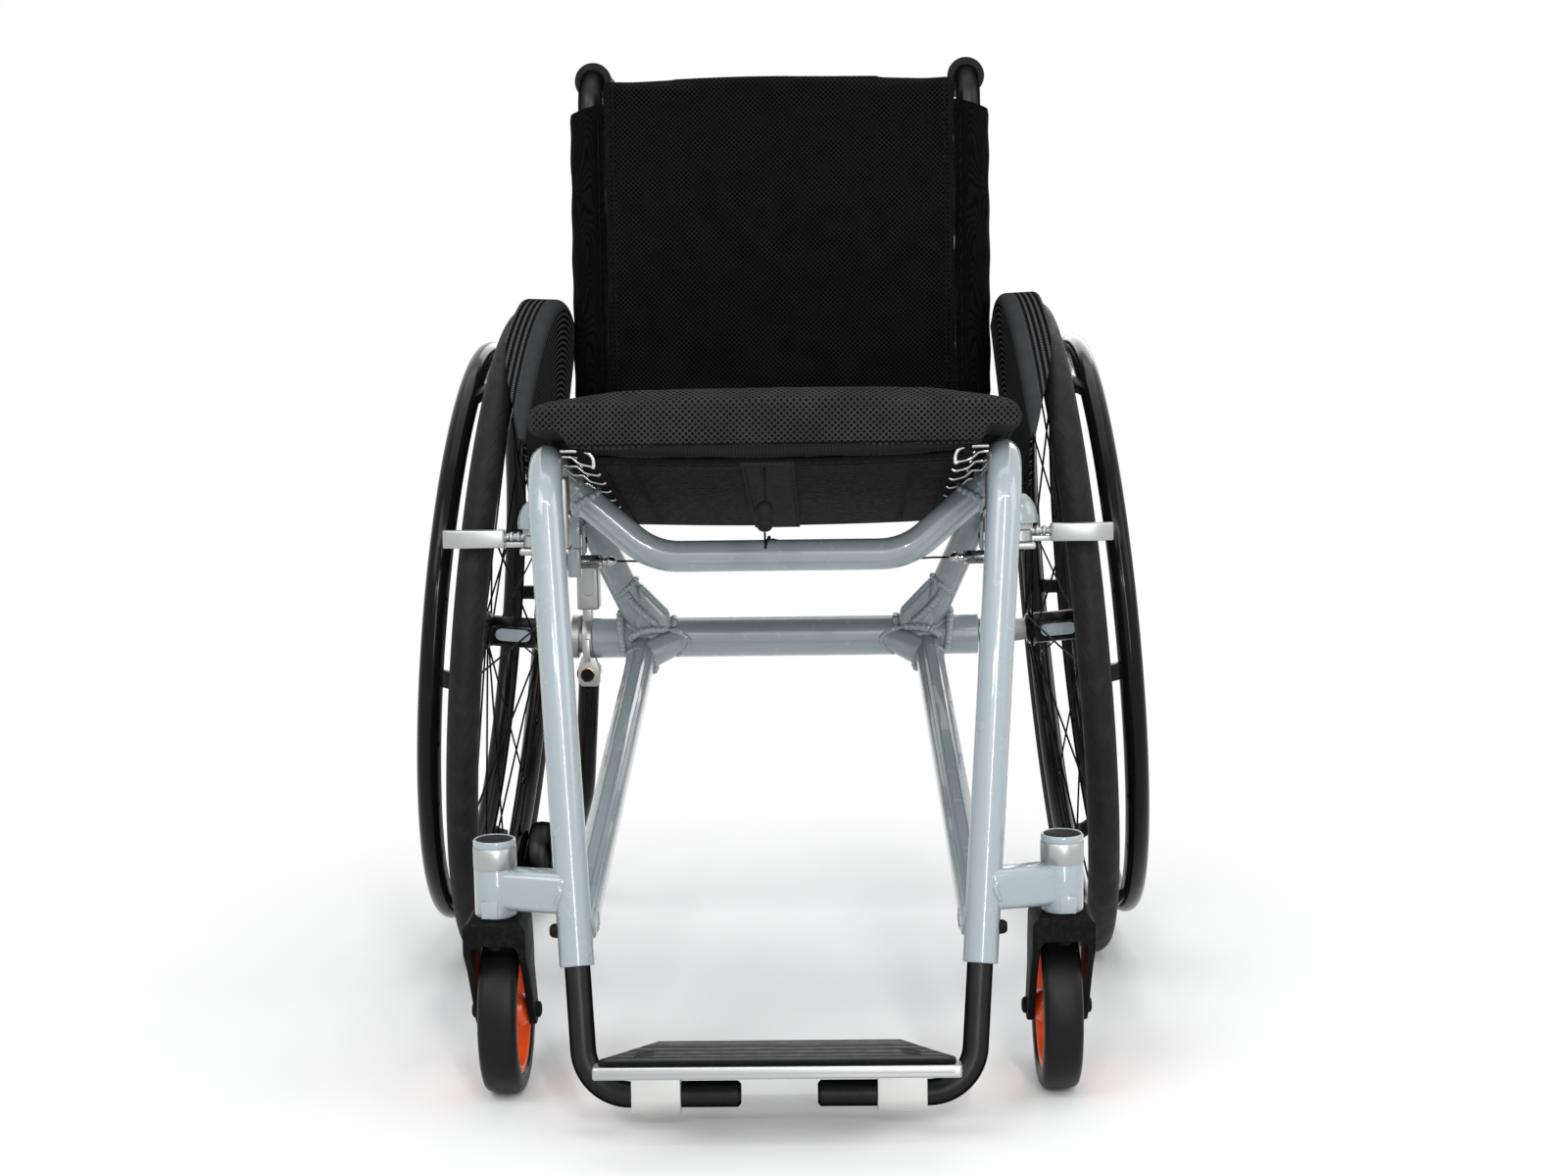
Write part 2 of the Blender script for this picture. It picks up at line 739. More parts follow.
CORD = webbing("braided_cord", 0.020, 0.0012, 0.0012)


# Frame

def baked(obj):
    """The object with its modifiers turned into mesh."""
    graph = bpy.context.evaluated_depsgraph_get()
    mesh = bpy.data.meshes.new_from_object(obj.evaluated_get(graph))
    obj.modifiers.clear()
    obj.data = mesh
    return obj


def cut(obj, *cutters):
    for cutter in cutters:
        modifier = obj.modifiers.new("cut", "BOOLEAN")
        modifier.solver = "EXACT"
        modifier.operation = "DIFFERENCE"
        modifier.object = cutter
        obj = baked(obj)
        bpy.data.objects.remove(cutter, do_unlink=True)
    return obj


def eased(path, radius, ends=(0.0008, 0.0008), sides=40):
    """A tube whose end edges are broken by these widths."""
    first = (path[1] - path[0]).normalized() * ends[0]
    last = (path[-1] - path[-2]).normalized() * ends[1]
    points = [path[0], path[0] + first, *path[1:-1], path[-1] - last, path[-1]]
    radii = [radius - ends[0], *[radius] * (len(points) - 2), radius - ends[1]]
    return sweep(points, radii, sides)


def screw(place, axis, radius, height, mat=None):
    """Button-head screw with a hexagon socket, on a surface point and facing along the axis."""
    profile = [(height, 0), (height, radius * 0.62), (height * 0.72, radius * 0.9),
               (height * 0.3, radius), (-0.001, radius), (-0.001, 0)]
    socket = solid(arc((0, 0), radius * 0.45, 0, 300, 6), 0.002,
                   Matrix.Translation((height + 0.0006, 0, 0)) @ spin(90, "Y"))
    turn = Vector((1, 0, 0)).rotation_difference(Vector(axis)).to_matrix().to_4x4()
    head = moved(cut(turned(profile, 28), socket), Matrix.Translation(place) @ turn)
    return painted(head, mat) if mat else head


def rail_path():
    rear = Vector((SEAT_X, 0.012, seat_z(0.012)))
    return filleted([rear, knee(), LEG_END], 0.055, 24)


CROSS_END = Vector((SEAT_X, CROSS_Y, seat_z(CROSS_Y)))
CROSS_CORNER = Vector((0.105, CROSS_Y, CROSS_Z))
STRUT_FOOT = Vector((0.126, 0, AXLE_Z))
STRUT_HEAD = Vector((SEAT_X, -0.050, seat_z(-0.050)))
RAIL_RUN = Vector((0, 1, -SEAT_SLOPE)).normalized()
LEG_RUN = (LEG_END - knee()).normalized()


def frame_tubes():
    rail = rail_path()
    add_pair(eased(rail, TUBE_R, (0.001, 0.0007), 48), "seat_rail", PAINT,
             "frame", ["side_tube_{s}"])
    plug = rod(rail[0] - RAIL_RUN * 0.004, rail[0] + RAIL_RUN * 0.0008, 0.0114, 32)
    add_pair(plug, "rail_end_cap", RUBBER)
    clamp_at = leg_point(0.1425) + Vector((0.0126, 0, 0))
    add_pair(screw(clamp_at, (1, 0, 0), 0.0054, 0.0058, BLACK), "leg_clamp_screw", None)

    left = [Vector((-p.x, p.y, p.z)) for p in (CROSS_END, CROSS_CORNER)]
    path = filleted([*left, CROSS_CORNER, CROSS_END], 0.060, 18)
    add(sweep(path, TUBE_R, 44), "cross_tube", PAINT, "frame", ["front_cross_tube"])
    bar = [Vector((x, 0, AXLE_Z)) for x in (-AXLE_TUBE_HALF, 0, AXLE_TUBE_HALF)]
    add(eased(bar, AXLE_TUBE_R, (0.001, 0.001), 64), "axle_beam", PAINT,
        "frame", ["axle_tube"])


def rippled(size, *points):
    """Weld bead along an open line."""
    fine = smooth_path(points, 14)
    length = sum((b - a).length for a, b in zip(fine, fine[1:]))
    count = round(length / 0.004)
    radii = []
    for i in range(len(fine)):
        t = i / (len(fine) - 1)
        taper = min(1, 6 * t + 0.4, 6 * (1 - t) + 0.4)
        radii.append(size * taper * (1 + 0.12 * math.cos(math.tau * count * t)))
    return sweep(fine, radii, 12)


def grooved_section(width, height, edge, grooves, depth):
    """Eight-sided profile, with fine grooves at the given places across its front faces."""
    w, h = width / 2, height / 2
    corners = [(w, edge), (w - h + edge, h), (-w + h - edge, h), (-w, edge),
               (-w, -edge), (-w + h - edge, -h), (w - h + edge, -h), (w, -edge)]
    section = []
    for i, (a, b) in enumerate(corners):
        before, after = corners[i - 1], corners[(i + 1) % 8]
        for other in (before, after):
            section.append((a + (other[0] - a) * 0.12, b + (other[1] - b) * 0.12))
        if i in (4, 5):
            for share in grooves[i - 4]:
                for step, down in ((-0.05, 0), (-0.03, depth), (0.03, depth), (0.05, 0)):
                    x = a + (after[0] - a) * (share + step)
                    y = b + (after[1] - b) * (share + step)
                    slant = 0.7 * down if i == 4 else 0.0
                    section.append((x + slant, y + (down if i == 5 else slant)))
    return section


def rear_struts():
    """Upper struts with the gusset and the welds of the junction at the axle tube."""
    upper = sweep([STRUT_FOOT, STRUT_FOOT.lerp(STRUT_HEAD, 0.5), STRUT_HEAD], TUBE_R, 40)
    web = [(0.1030, AXLE_Z + 0.008), (0.1045, AXLE_Z + 0.0245), (0.1365, AXLE_Z + 0.0585),
           (0.1470, AXLE_Z + 0.0500), (0.1340, AXLE_Z + 0.004)]
    gusset = solid(web, 0.01, front_plane(-0.0125), 0.0062, 5)
    beads = [
        rippled(0.0026, (0.1548, -0.0170, 0.3290), (0.1510, -0.0285, 0.3315),
                (0.1450, -0.0322, 0.3365), (0.1395, -0.0315, 0.3415),
                (0.1350, -0.0255, 0.3455), (0.1340, -0.0170, 0.3475)),
        rippled(0.0036, (0.1435, -0.0305, 0.3385), (0.1400, -0.0285, 0.3290),
                (0.1330, -0.0265, 0.3200), (0.1230, -0.0245, 0.3100), (0.1140, -0.0225, 0.3030)),
        rippled(0.0024, (0.1330, -0.0235, 0.3425), (0.1240, -0.0225, 0.3330),
                (0.1140, -0.0215, 0.3225), (0.1055, -0.0190, 0.3135)),
        rippled(0.0030, (0.1022, -0.0040, 0.3090), (0.1010, -0.0120, 0.3065),
                (0.1020, -0.0170, 0.3010)),
        rippled(0.0034, (0.1500, -0.0050, 0.3160), (0.1505, -0.0130, 0.3110),
                (0.1500, -0.0185, 0.3020), (0.1490, -0.0200, 0.2920),
                (0.1480, -0.0190, 0.2830), (0.1470, -0.0160, 0.2760)),
    ]
    run = STRUT_HEAD - STRUT_FOOT
    toe = bead(STRUT_FOOT, (1, 0, 0), AXLE_TUBE_R, STRUT_FOOT, run, TUBE_R, 0.0026)
    top = bead(STRUT_HEAD, RAIL_RUN, TUBE_R, STRUT_HEAD, -run, TUBE_R, 0.0024)
    add_pair(merged(upper, gusset, *beads, toe, top), "rear_strut", PAINT,
             "frame", ["upper_strut_{s}"])


def front_struts():
    """Lower struts, flat-sided, with the stub and the welds under the axle tube."""
    foot = Vector((0.1285, -0.004, AXLE_Z - 0.008))
    knuckle = Vector((0.1310, -0.030, AXLE_Z - 0.016))
    leg = leg_point(0.1430)
    head = Vector((0.1462, leg.y + 0.001, 0.1430))
    run = (head - knuckle).normalized()
    across = Vector((1, 0, 0))
    up = across.cross(run).normalized()
    section = grooved_section(0.0245, 0.026, 0.006, ((0.35, 0.70), (0.10, 0.88)), 0.0005)
    stations = ((foot, 1.10), (knuckle, 1.08), (knuckle + run * 0.014, 1.02),
                (knuckle + run * 0.028, 1.0), (head, 1.0))
    lower = grid([[centre + across * a * swell + up * b * swell for a, b in section]
                  for centre, swell in stations])
    stub = sweep(
        smooth_path([(0.1330, -0.0270, 0.2735), (0.1210, -0.0225, 0.2780),
                     (0.1090, -0.0175, 0.2835), (0.0975, -0.0125, 0.2880),
                     (0.0905, -0.0085, 0.2890)], 6),
        smooth_radii(0.0115, 0.0125, 0.0125, 0.0115, 0.0085, count=6), 32)
    beads = [
        rippled(0.0034, (0.1430, -0.0215, 0.2900), (0.1360, -0.0262, 0.2955),
                (0.1295, -0.0262, 0.2985), (0.1170, -0.0245, 0.3000), (0.1060, -0.0215, 0.2995)),
        rippled(0.0024, (0.1060, -0.0215, 0.2995), (0.0960, -0.0200, 0.2960),
                (0.0880, -0.0188, 0.2895), (0.0900, -0.0185, 0.2820), (0.0990, -0.0205, 0.2745)),
        rippled(0.0026, (0.1230, -0.0290, 0.2830), (0.1180, -0.0315, 0.2755),
                (0.1170, -0.0305, 0.2670), (0.1200, -0.0270, 0.2600)),
        rippled(0.0022, (0.1430, -0.0330, 0.2790), (0.1370, -0.0375, 0.2835),
                (0.1290, -0.0375, 0.2840), (0.1215, -0.0335, 0.2800)),
        rippled(0.0018, (head.x - 0.0115, leg.y + 0.012, 0.1560),
                (head.x - 0.0122, leg.y + 0.014, 0.1460),
                (head.x - 0.0110, leg.y + 0.012, 0.1370)),
    ]
    add_pair(merged(lower, stub, *beads), "front_strut", PAINT,
             "frame", ["lower_strut_{s}"], 30)


def cross_welds():
    """The weld where the cross tube meets each seat rail, with a wavy collar ahead of it."""
    run = (CROSS_CORNER - CROSS_END).normalized()
    side = run.cross(Vector((0, 1, 0))).normalized()
    ahead = side.cross(run)
    steps = 96
    collar = []
    for i in range(steps):
        a = math.tau * i / steps
        along = 0.0225 + 0.0025 * math.sin(2 * a + 0.6) + 0.0006 * math.sin(19 * a)
        ring = side * math.cos(a) + ahead * math.sin(a)
        collar.append(CROSS_END + run * along + ring * 0.0132)
    radii = [0.0028 * (1 + 0.20 * math.cos(math.tau * 17 * i / steps)) for i in range(steps)]
    joint = bead(CROSS_END, RAIL_RUN, TUBE_R, CROSS_END, CROSS_CORNER - CROSS_END, TUBE_R, 0.003)
    add_pair(merged(joint, sweep(collar, radii, 12, closed=True)), "cross_weld", PAINT)


def caster_arms():
    leg = leg_point(ARM_Z)
    run = Vector((STEM_X, STEM_Y, ARM_Z)) - leg
    turn = Matrix.Rotation(math.atan2(run.y, run.x), 4, "Z")
    arm = box((-0.001, -0.012, -0.0155), (run.length, 0.012, 0.0155), 0.0072, 6,
              Matrix.Translation(leg) @ turn)
    low, stem = FORK_TOP + GAP, upright(STEM_X, STEM_Y)
    band_low, band_high = 0.1848, 0.2012
    profile = [
        *shifted(HOUSING_TOP, (-0.0022, 0), (-0.0022, 0.0134), (-0.0002, 0.014), (0, 0.0144),
                 (0, 0.0149), (-0.0004, 0.0155), (-0.0012, HOUSING_R)),
        *shifted(band_high, (0.0006, HOUSING_R), (0, 0.0154)),
        *shifted(band_low, (0, 0.0154), (-0.0006, HOUSING_R)),
        *shifted(low, (0.0012, HOUSING_R), (0.0003, HOUSING_R - 0.0005),
                 (0, HOUSING_R - 0.0012), (0, 0)),
    ]
    housing = turned(profile, 72, False, stem)
    lug = box((STEM_X - 0.003, STEM_Y - HOUSING_R - 0.0004, low + 0.0008),
              (STEM_X + 0.009, STEM_Y - 0.006, low + 0.014), 0.0006, 2)
    toe = bead(leg, LEG_RUN, TUBE_R, leg, run, 0.0122, 0.0022)
    add_pair(merged(arm, housing, lug, toe), "caster_arm", PAINT,
             "frame", ["caster_mount_{s}"])
    band = [*shifted(band_low, (0.0004, 0.015), (0.0004, 0.0158), (0.0008, 0.0161)),
            *shifted(band_high, (-0.0008, 0.0161), (-0.0004, 0.0158), (-0.0004, 0.015))]
    add_pair(turned(band, 72, True, stem), "housing_band", BRIGHT)
    lid = shifted(HOUSING_TOP, (0.0001, 0), (0.0001, 0.0095), (-0.0003, 0.0128),
                  (-0.0014, 0.0136), (-0.003, 0.0136), (-0.003, 0))
    add_pair(turned(lid, 56, False, stem), "housing_cap", RUBBER)


PLATE_DEPTH = (PLATE_BACK_Y - PLATE_FRONT_Y) / math.cos(PLATE_RISE)


def foot_path():
    start = LEG_END - LEG_RUN * 0.073
    corner = LEG_END + LEG_RUN * (LEG_END.z - FOOT_RUN_Z) / -LEG_RUN.z
    return filleted([start, corner, (0.0279, corner.y, FOOT_RUN_Z)], 0.035, 16)


def on_plate(lift):
    """Local axes on the sloping footplate, this far over its middle plane."""
    place = Matrix.Translation((0, PLATE_BACK_Y, PLATE_BACK_Z))
    return place @ Matrix.Rotation(-PLATE_RISE, 4, "X") @ Matrix.Translation((0, 0, lift))


def plate_outline(inset):
    back, front = PLATE_BACK_HALF - inset, PLATE_FRONT_HALF - inset
    corner = arc((front - 0.006, -PLATE_DEPTH + inset + 0.006), 0.006, -90, 0, 6)
    return both_ways(corner + [(front, -PLATE_DEPTH * 0.80), (back, -inset - 0.002),
                               (back - 0.002, -inset)])


def footrest():
    tube_path = foot_path()
    add_pair(eased(tube_path, 0.0095, (0.0004, 0.0022), 36), "foot_tube", SATIN,
             "frame", ["footrest_tube_{s}"])
    plate = solid(plate_outline(0), PLATE_T / 2, on_plate(0), 0.001, 3)
    lip = box((-0.1285, -PLATE_DEPTH + 0.0001, -0.0058), (0.1285, -PLATE_DEPTH + 0.006, 0.0029),
              0.0016, 4, on_plate(0))
    keel = [(-0.028, -0.0022), (-0.028, -0.0062), (0.024, -0.0034), (0.024, -0.0022)]
    wedge = solid(keel, 0.016, on_plate(0) @ Matrix.Translation((0, -PLATE_DEPTH + 0.024, 0))
                  @ spin(90, "X"), 0.0006, 2)
    add(merged(plate, lip, wedge), "foot_board", BRIGHT, "frame", ["footplate"])

    lift = PLATE_T / 2 + GAP
    pad = solid(plate_outline(0.0038), 0.0014, on_plate(lift + 0.0014), 0.0007, 2)
    ribs = []
    for shares in ((0.05, 0.33), (0.37, 0.50), (0.54, 0.67), (0.71, 0.82), (0.86, 0.95)):
        corners = []
        for share in shares:
            spread = (PLATE_FRONT_HALF - PLATE_BACK_HALF) * min(1, share / 0.8)
            corners.append((PLATE_BACK_HALF + spread - 0.0085, -PLATE_DEPTH * share))
        (near, y), (far, low_y) = corners
        ribs.append(solid([(-near, y), (-far, low_y), (far, low_y), (near, y)], 0.0011,
                          on_plate(lift + 0.0029), 0.0006, 2))
    top = on_plate(lift + 0.004)
    for g, _ in SIDES:
        for y in (-0.62, -0.76):
            ribs.append(rod(top @ Vector((g * 0.101, PLATE_DEPTH * y - 0.004, 0)),
                            top @ Vector((g * 0.088, PLATE_DEPTH * y + 0.006, 0)),
                            0.0009, 10, 0.0003))
    painted(pad, FORK_BLACK)
    add(merged(pad, painted(merged(*ribs), TREAD_RUBBER)), "tread_pad", None,
        "frame", ["footplate_pad"])

    x, y, z = 0.089, tube_path[-1].y, FOOT_RUN_Z
    outer = 0.014

    def under(at_y):
        """Height of the footplate's underside."""
        slope = math.tan(PLATE_RISE)
        return PLATE_BACK_Z - (at_y - PLATE_BACK_Y) * slope - lift / math.cos(PLATE_RISE)

    outline = [(y - outer, under(y - outer)), *arc((y, z), outer, 180, 360, 20),
               (y + outer, under(y + outer))]
    clamp = solid(outline, 0.018, side_plane(x), 0.0012, 3)
    slit = box((x - 0.019, y + 0.004, z - 0.0006), (x + 0.019, y + 0.02, z + 0.0006), 0)
    clamp = cut(clamp, slit)
    bolts = [screw((x + dx, y + 0.0118, z - 0.0086), (0, 0.75, -0.66), 0.003, 0.002)
             for dx in (-0.01, 0.01)]
    add_pair(merged(clamp, *bolts), "foot_clamp", PALE, "frame", ["footplate_clamp_{s}"])


# Wheels

def tyre_and_rim(place):
    tread = arc((0, WHEEL_R - TYRE_R), TYRE_R, 238, -58, 33)
    tyre = turned([(x, max(r, RIM_R + GAP)) for x, r in tread], 192, True, place)
    made = add_pair(tyre, "road_tyre", None, "rear_wheel_{s}", ["rear_tyre_{s}"], 60)
    for piece, (_, side) in zip(made, SIDES):
        painted(piece, tyre_rubber(side))

    half = [(0.0092, RIM_R), (0.0100, RIM_R - 0.0012), (0.0100, RIM_R - 0.0072),
            (0.0090, RIM_R - 0.0095), (0.0070, RIM_R - 0.0132), (0.0042, RIM_R - 0.0158),
            (0.0, RIM_R - 0.0164)]
    pieces = [turned(both_ways(half)[::-1], 160, True)]
    deep = RIM_R - 0.0166
    for i in range(SPOKES):
        a = math.tau * i / SPOKES
        tip = Vector((0.002 if i % 2 else -0.002, deep * math.cos(a), deep * math.sin(a)))
        inward = Vector((0, -math.cos(a), -math.sin(a)))
        nipple = [tip + inward * d for d in (-0.001, 0.0012, 0.0012, 0.0105)]
        pieces.append(sweep(nipple, [0.003, 0.0028, 0.0017, 0.0015], 10))
    add_pair(moved(merged(*pieces), place), "wheel_rim", GLOSS_BLACK,
             "rear_wheel_{s}", ["rear_rim_{s}"])


def hub_and_spokes(place):
    flange_in, flange_out = HUB_IN + 0.004, HUB_OUT - 0.004
    end = [(0, HUB_BORE), (0, 0.0118), (0.0008, 0.0125), (0.0022, 0.0135), (0.0024, 0.0172),
           (0.003, 0.0178), (0.005, 0.0178), (0.0056, 0.0172), (0.0074, 0.0146), (0.0092, HUB_R)]
    barrel = [(HUB_OUT - d, r) for d, r in end] + [(HUB_IN + d, r) for d, r in reversed(end)]
    hub = turned(barrel, 72, True)
    middle = (HUB_IN + HUB_OUT) / 2
    pocket = oval(0.0105, 0.006, 12)
    inner = [(x * 0.98, y * 0.95) for x, y in pocket]
    inlays = []
    for i in range(HUB_POCKETS):
        turn = spin(96 + 360 / HUB_POCKETS * i, "X")
        milled = solid(pocket, 0.0025, turn @ Matrix.Translation((middle, 0, HUB_R + 0.0006)))
        hub = cut(hub, milled)
        inlays.append(solid(inner, 0.0006, turn @ Matrix.Translation((middle, 0, HUB_R - 0.002))))
    inlay = painted(merged(*inlays), PAINT)
    painted(hub, GLOSS_BLACK)

    spokes = []
    hook_r, tip_r = 0.0156, RIM_R - 0.0176
    for i in range(SPOKES):
        side = 1 if i % 2 else -1
        crossing = 1 if (i // 2) % 2 else -1
        flange = flange_out if side > 0 else flange_in
        rim_angle = math.tau * i / SPOKES
        hub_angle = rim_angle + crossing * math.radians(52)
        start = Vector((flange + crossing * 0.0019, hook_r * math.cos(hub_angle),
                        hook_r * math.sin(hub_angle)))
        tip = Vector((side * 0.002, tip_r * math.cos(rim_angle), tip_r * math.sin(rim_angle)))
        spokes.append(sweep([start, start.lerp(tip, 0.5), tip], 0.0009, 8))
        spokes.append(rod(start - Vector((crossing * 0.0042, 0, 0)),
                          start + Vector((crossing * 0.0008, 0, 0)), 0.0013, 10, 0.0003))
    spokes = painted(merged(*spokes), SPOKE_BLACK)
    add_pair(moved(merged(hub, inlay, spokes), place), "wheel_hub", None,
             "rear_wheel_{s}", ["rear_hub_{s}"])


def hand_ring(place):
    section = arc((PUSH_RIM_OFFSET, PUSH_RIM_R), PUSH_RIM_TUBE_R, 0, 345, 24)
    pieces = [turned(section[::-1], 192, True)]
    face = 0.0105
    tab = [(face, RIM_R - 0.014), (face, RIM_R - 0.004), (face + 0.004, RIM_R - 0.0035),
           (PUSH_RIM_OFFSET - 0.006, PUSH_RIM_R + 0.0055),
           (PUSH_RIM_OFFSET - 0.004, PUSH_RIM_R - 0.0055), (face + 0.006, RIM_R - 0.015)]
    for i in range(PUSH_RIM_TABS):
        turn = Matrix.Rotation(math.tau * i / PUSH_RIM_TABS, 4, "X")
        pieces.append(solid(tab, 0.0068, turn, 0.001, 2))
        bolt = screw((PUSH_RIM_OFFSET - 0.013, PUSH_RIM_R + 0.002, 0), (0.55, -0.83, 0),
                     0.0036, 0.0028)
        pieces.append(moved(bolt, turn))
    add_pair(moved(merged(*pieces), place), "hand_ring", GLOSS_BLACK,
             "rear_wheel_{s}", ["push_rim_{s}"])


def axle_pins(place):
    pin = [*shifted(HUB_OUT, (0.008, 0), (0.008, 0.003), (0.0074, 0.0036), (0.0046, 0.0038),
                    (0.0046, 0.0078), (0.0038, 0.0086), (0.001, 0.009), (0.0003, 0.0088),
                    (0.0003, AXLE_PIN_R)),
           *shifted(-0.06, (0.0025, AXLE_PIN_R), (0.001, 0.0056), (0, 0.0045), (0, 0))]
    add_pair(turned(pin, 48, False, place), "release_axle", STEEL,
             "frame", ["axle_pin_{s}"])

    def along(x):
        return (x - HUB_X) / math.cos(CAMBER)

    socket = [*shifted(HUB_IN - GAP, (0, HUB_BORE), (0, 0.0098)),
              *shifted(along(0.1968), (0.004, 0.0108), (0.0004, 0.0124), (0, 0.0136),
                       (0, 0.019), (-0.001, 0.02)),
              *shifted(along(0.1881), (0.001, 0.02), (0, 0.019), (0, 0.0148)),
              *shifted(along(AXLE_TUBE_HALF), (0.0012, 0.0148), (0.0012, HUB_BORE))]
    add_pair(turned(socket, 64, True, place), "camber_plug", SILVER,
             "frame", ["camber_socket_{s}"])


def caster_fork():
    axle_y, front = STEM_Y + TRAIL, STEM_Y - 0.0205
    outline = [(front + 0.004, FORK_TOP), (front + 0.0012, FORK_TOP - 0.001),
               (front, FORK_TOP - 0.004), (front, 0.124), (front + 0.0015, 0.1205),
               (front + 0.004, 0.118), (STEM_Y - 0.003, 0.104),
               *arc((axle_y, CASTER_R), 0.0115, 205, 355, 18), (STEM_Y + 0.0335, 0.100),
               (STEM_Y + 0.033, 0.118), (STEM_Y + 0.0265, FORK_TOP - 0.006),
               (STEM_Y + 0.0245, FORK_TOP - 0.0015), (STEM_Y + 0.022, FORK_TOP)]
    fork = solid(outline, FORK_HALF, side_plane(STEM_X), 0.0018, 3)
    inner = FORK_HALF - 0.0054
    slot_box = box((STEM_X - inner, front + 0.0035, -0.01),
                   (STEM_X + inner, axle_y + 0.08, FORK_TOP - 0.007), 0.0)
    arch = [(STEM_X - inner, 0.0)]
    for i in range(17):
        t = math.pi * (1 - i / 16)
        arch.append((STEM_X + inner * math.copysign(abs(math.cos(t)) ** 0.45, math.cos(t)),
                     0.1175 + 0.012 * max(math.sin(t), 0) ** 0.45))
    arch.append((STEM_X + inner, 0.0))
    gap = solid(arch, 0.020, front_plane(front - 0.0165))
    round_r = 0.0085
    shoulders = []
    for g, _ in SIDES:
        near, far = STEM_X + g * (FORK_HALF - round_r), STEM_X + g * (FORK_HALF + 0.001)
        curve = [(near, FORK_TOP + 0.001)]
        for i in range(9):
            t = math.pi / 2 * i / 8
            curve.append((STEM_X + g * (FORK_HALF - round_r + round_r * math.sin(t)),
                          FORK_TOP - round_r + round_r * math.cos(t)))
        curve += [(far, FORK_TOP - round_r), (far, FORK_TOP + 0.001)]
        shoulders.append(solid(curve, 0.08, front_plane(STEM_Y)))
    fork = cut(fork, slot_box, gap, *shoulders)

    stem = upright(STEM_X, STEM_Y)
    nut = turned([(0.1382, 0), (0.1382, 0.0052), (0.1392, 0.0062), (0.144, 0.0062), (0.144, 0)],
                 6, False, stem)
    washer = turned([(0.14, 0), (0.14, 0.0082), (0.1412, 0.0082), (0.1412, 0)], 32, False, stem)
    bar = rod((STEM_X, STEM_Y, FORK_TOP - 0.002), (STEM_X, STEM_Y, 0.188), 0.006, 32)
    race = turned(shifted(FORK_TOP, (-0.0012, 0), (-0.0012, 0.0125), (0.0001, 0.0125), (0.0001, 0)),
                  48, False, stem)
    reach = FORK_HALF + 0.001
    bolt = rod((STEM_X - reach, axle_y, CASTER_R), (STEM_X + reach, axle_y, CASTER_R), 0.004, 24)
    heads = [screw((STEM_X + g * (FORK_HALF - 0.0002), axle_y, CASTER_R), (g, 0, 0),
                   0.0064, 0.0036) for g, _ in SIDES]
    stem_nut = turned([(0.125, 0), (0.125, 0.0038), (0.1262, 0.0052), (0.1305, 0.0052),
                       (0.1305, 0)], 6, False, upright(STEM_X, front + 0.0075))
    add_pair(merged(fork, nut, washer, bar, race, bolt, *heads, stem_nut), "fork", FORK_BLACK,
             "caster_{s}", ["caster_fork_{s}"], 30)


def caster_wheel():
    seat = Matrix.Translation((STEM_X, STEM_Y + TRAIL, CASTER_R))
    rim_r, half = 0.0487, CASTER_HALF
    tread = [(half - 0.0025, rim_r + 0.0003), (half - 0.0008, rim_r + 0.0012),
             (half - 0.0003, rim_r + 0.004), (half - 0.0004, CASTER_R - 0.0055),
             (half - 0.0012, CASTER_R - 0.0032), (half - 0.0028, CASTER_R - 0.0014),
             (half - 0.0055, CASTER_R - 0.0005), (half - 0.0095, CASTER_R - 0.0001),
             (0.0, CASTER_R)]
    add_pair(turned(both_ways(tread)[::-1], 120, True, seat), "caster_tread", CASTER_RUBBER,
             "caster_wheel_body_{s}", ["caster_tyre_{s}"], 50)
    edge, low = 0.0125, rim_r - 0.0055
    ring = turned(both_ways([(edge - 0.0006, rim_r), (edge, rim_r - 0.0006), (edge, low + 0.0006),
                             (edge - 0.0006, low), (0.0035, low - 0.0008)]), 120, True)
    hub_half = FORK_HALF - 0.0054 - GAP
    hub = turned(both_ways(shifted(hub_half, (0, 0.0043), (0, 0.008), (-0.001, 0.009),
                                   (-0.004, 0.012), (-0.0052, 0.0125))), 56, True)
    blade = [(-0.0062, 0.0105), (0.0062, 0.0105), (0.0046, 0.018), (0.0042, 0.033),
             (0.0058, low + 0.002), (-0.0058, low + 0.002), (-0.0042, 0.033), (-0.0046, 0.018)]
    spokes = []
    for i in range(CASTER_SPOKES):
        turn = Matrix.Rotation(math.tau * i / CASTER_SPOKES, 4, "X")
        spokes.append(solid(blade, 0.0052, turn @ side_plane(0), 0.0012, 3))
    add_pair(moved(merged(ring, hub, *spokes), seat), "caster_disc", ORANGE,
             "caster_wheel_body_{s}", ["caster_wheel_{s}"])


frame_tubes()
rear_struts()
front_struts()
cross_welds()
caster_arms()
footrest()
for make in (tyre_and_rim, hub_and_spokes, hand_ring, axle_pins):
    make(wheel_frame())
caster_fork()
caster_wheel()


# Seat

SLING_HALF = 0.143
SLING_FRONT_Y = -0.350
SLING_BACK_Y = -0.005
SLING_HOOKS = 8


def sling_z(x, y):
    sag = 0.003 * (1 - (x / SLING_HALF) ** 2)
    return seat_z(y) - 0.0055 - sag


def on_sling(x, y, lift):
    return Vector((x, y, sling_z(x, y) + lift))


def strip(xs, ys, lift, half, columns, rows):
    """A strap sewn to the sling, between these limits."""
    rings = []
    for y in spaced(*ys, rows):
        across = spaced(*xs, columns)
        over = [on_sling(x, y, lift + half) for x in across]
        under = [on_sling(x, y, lift - half) for x in reversed(across)]
        rings.append(over + under)
    return grid(rings)


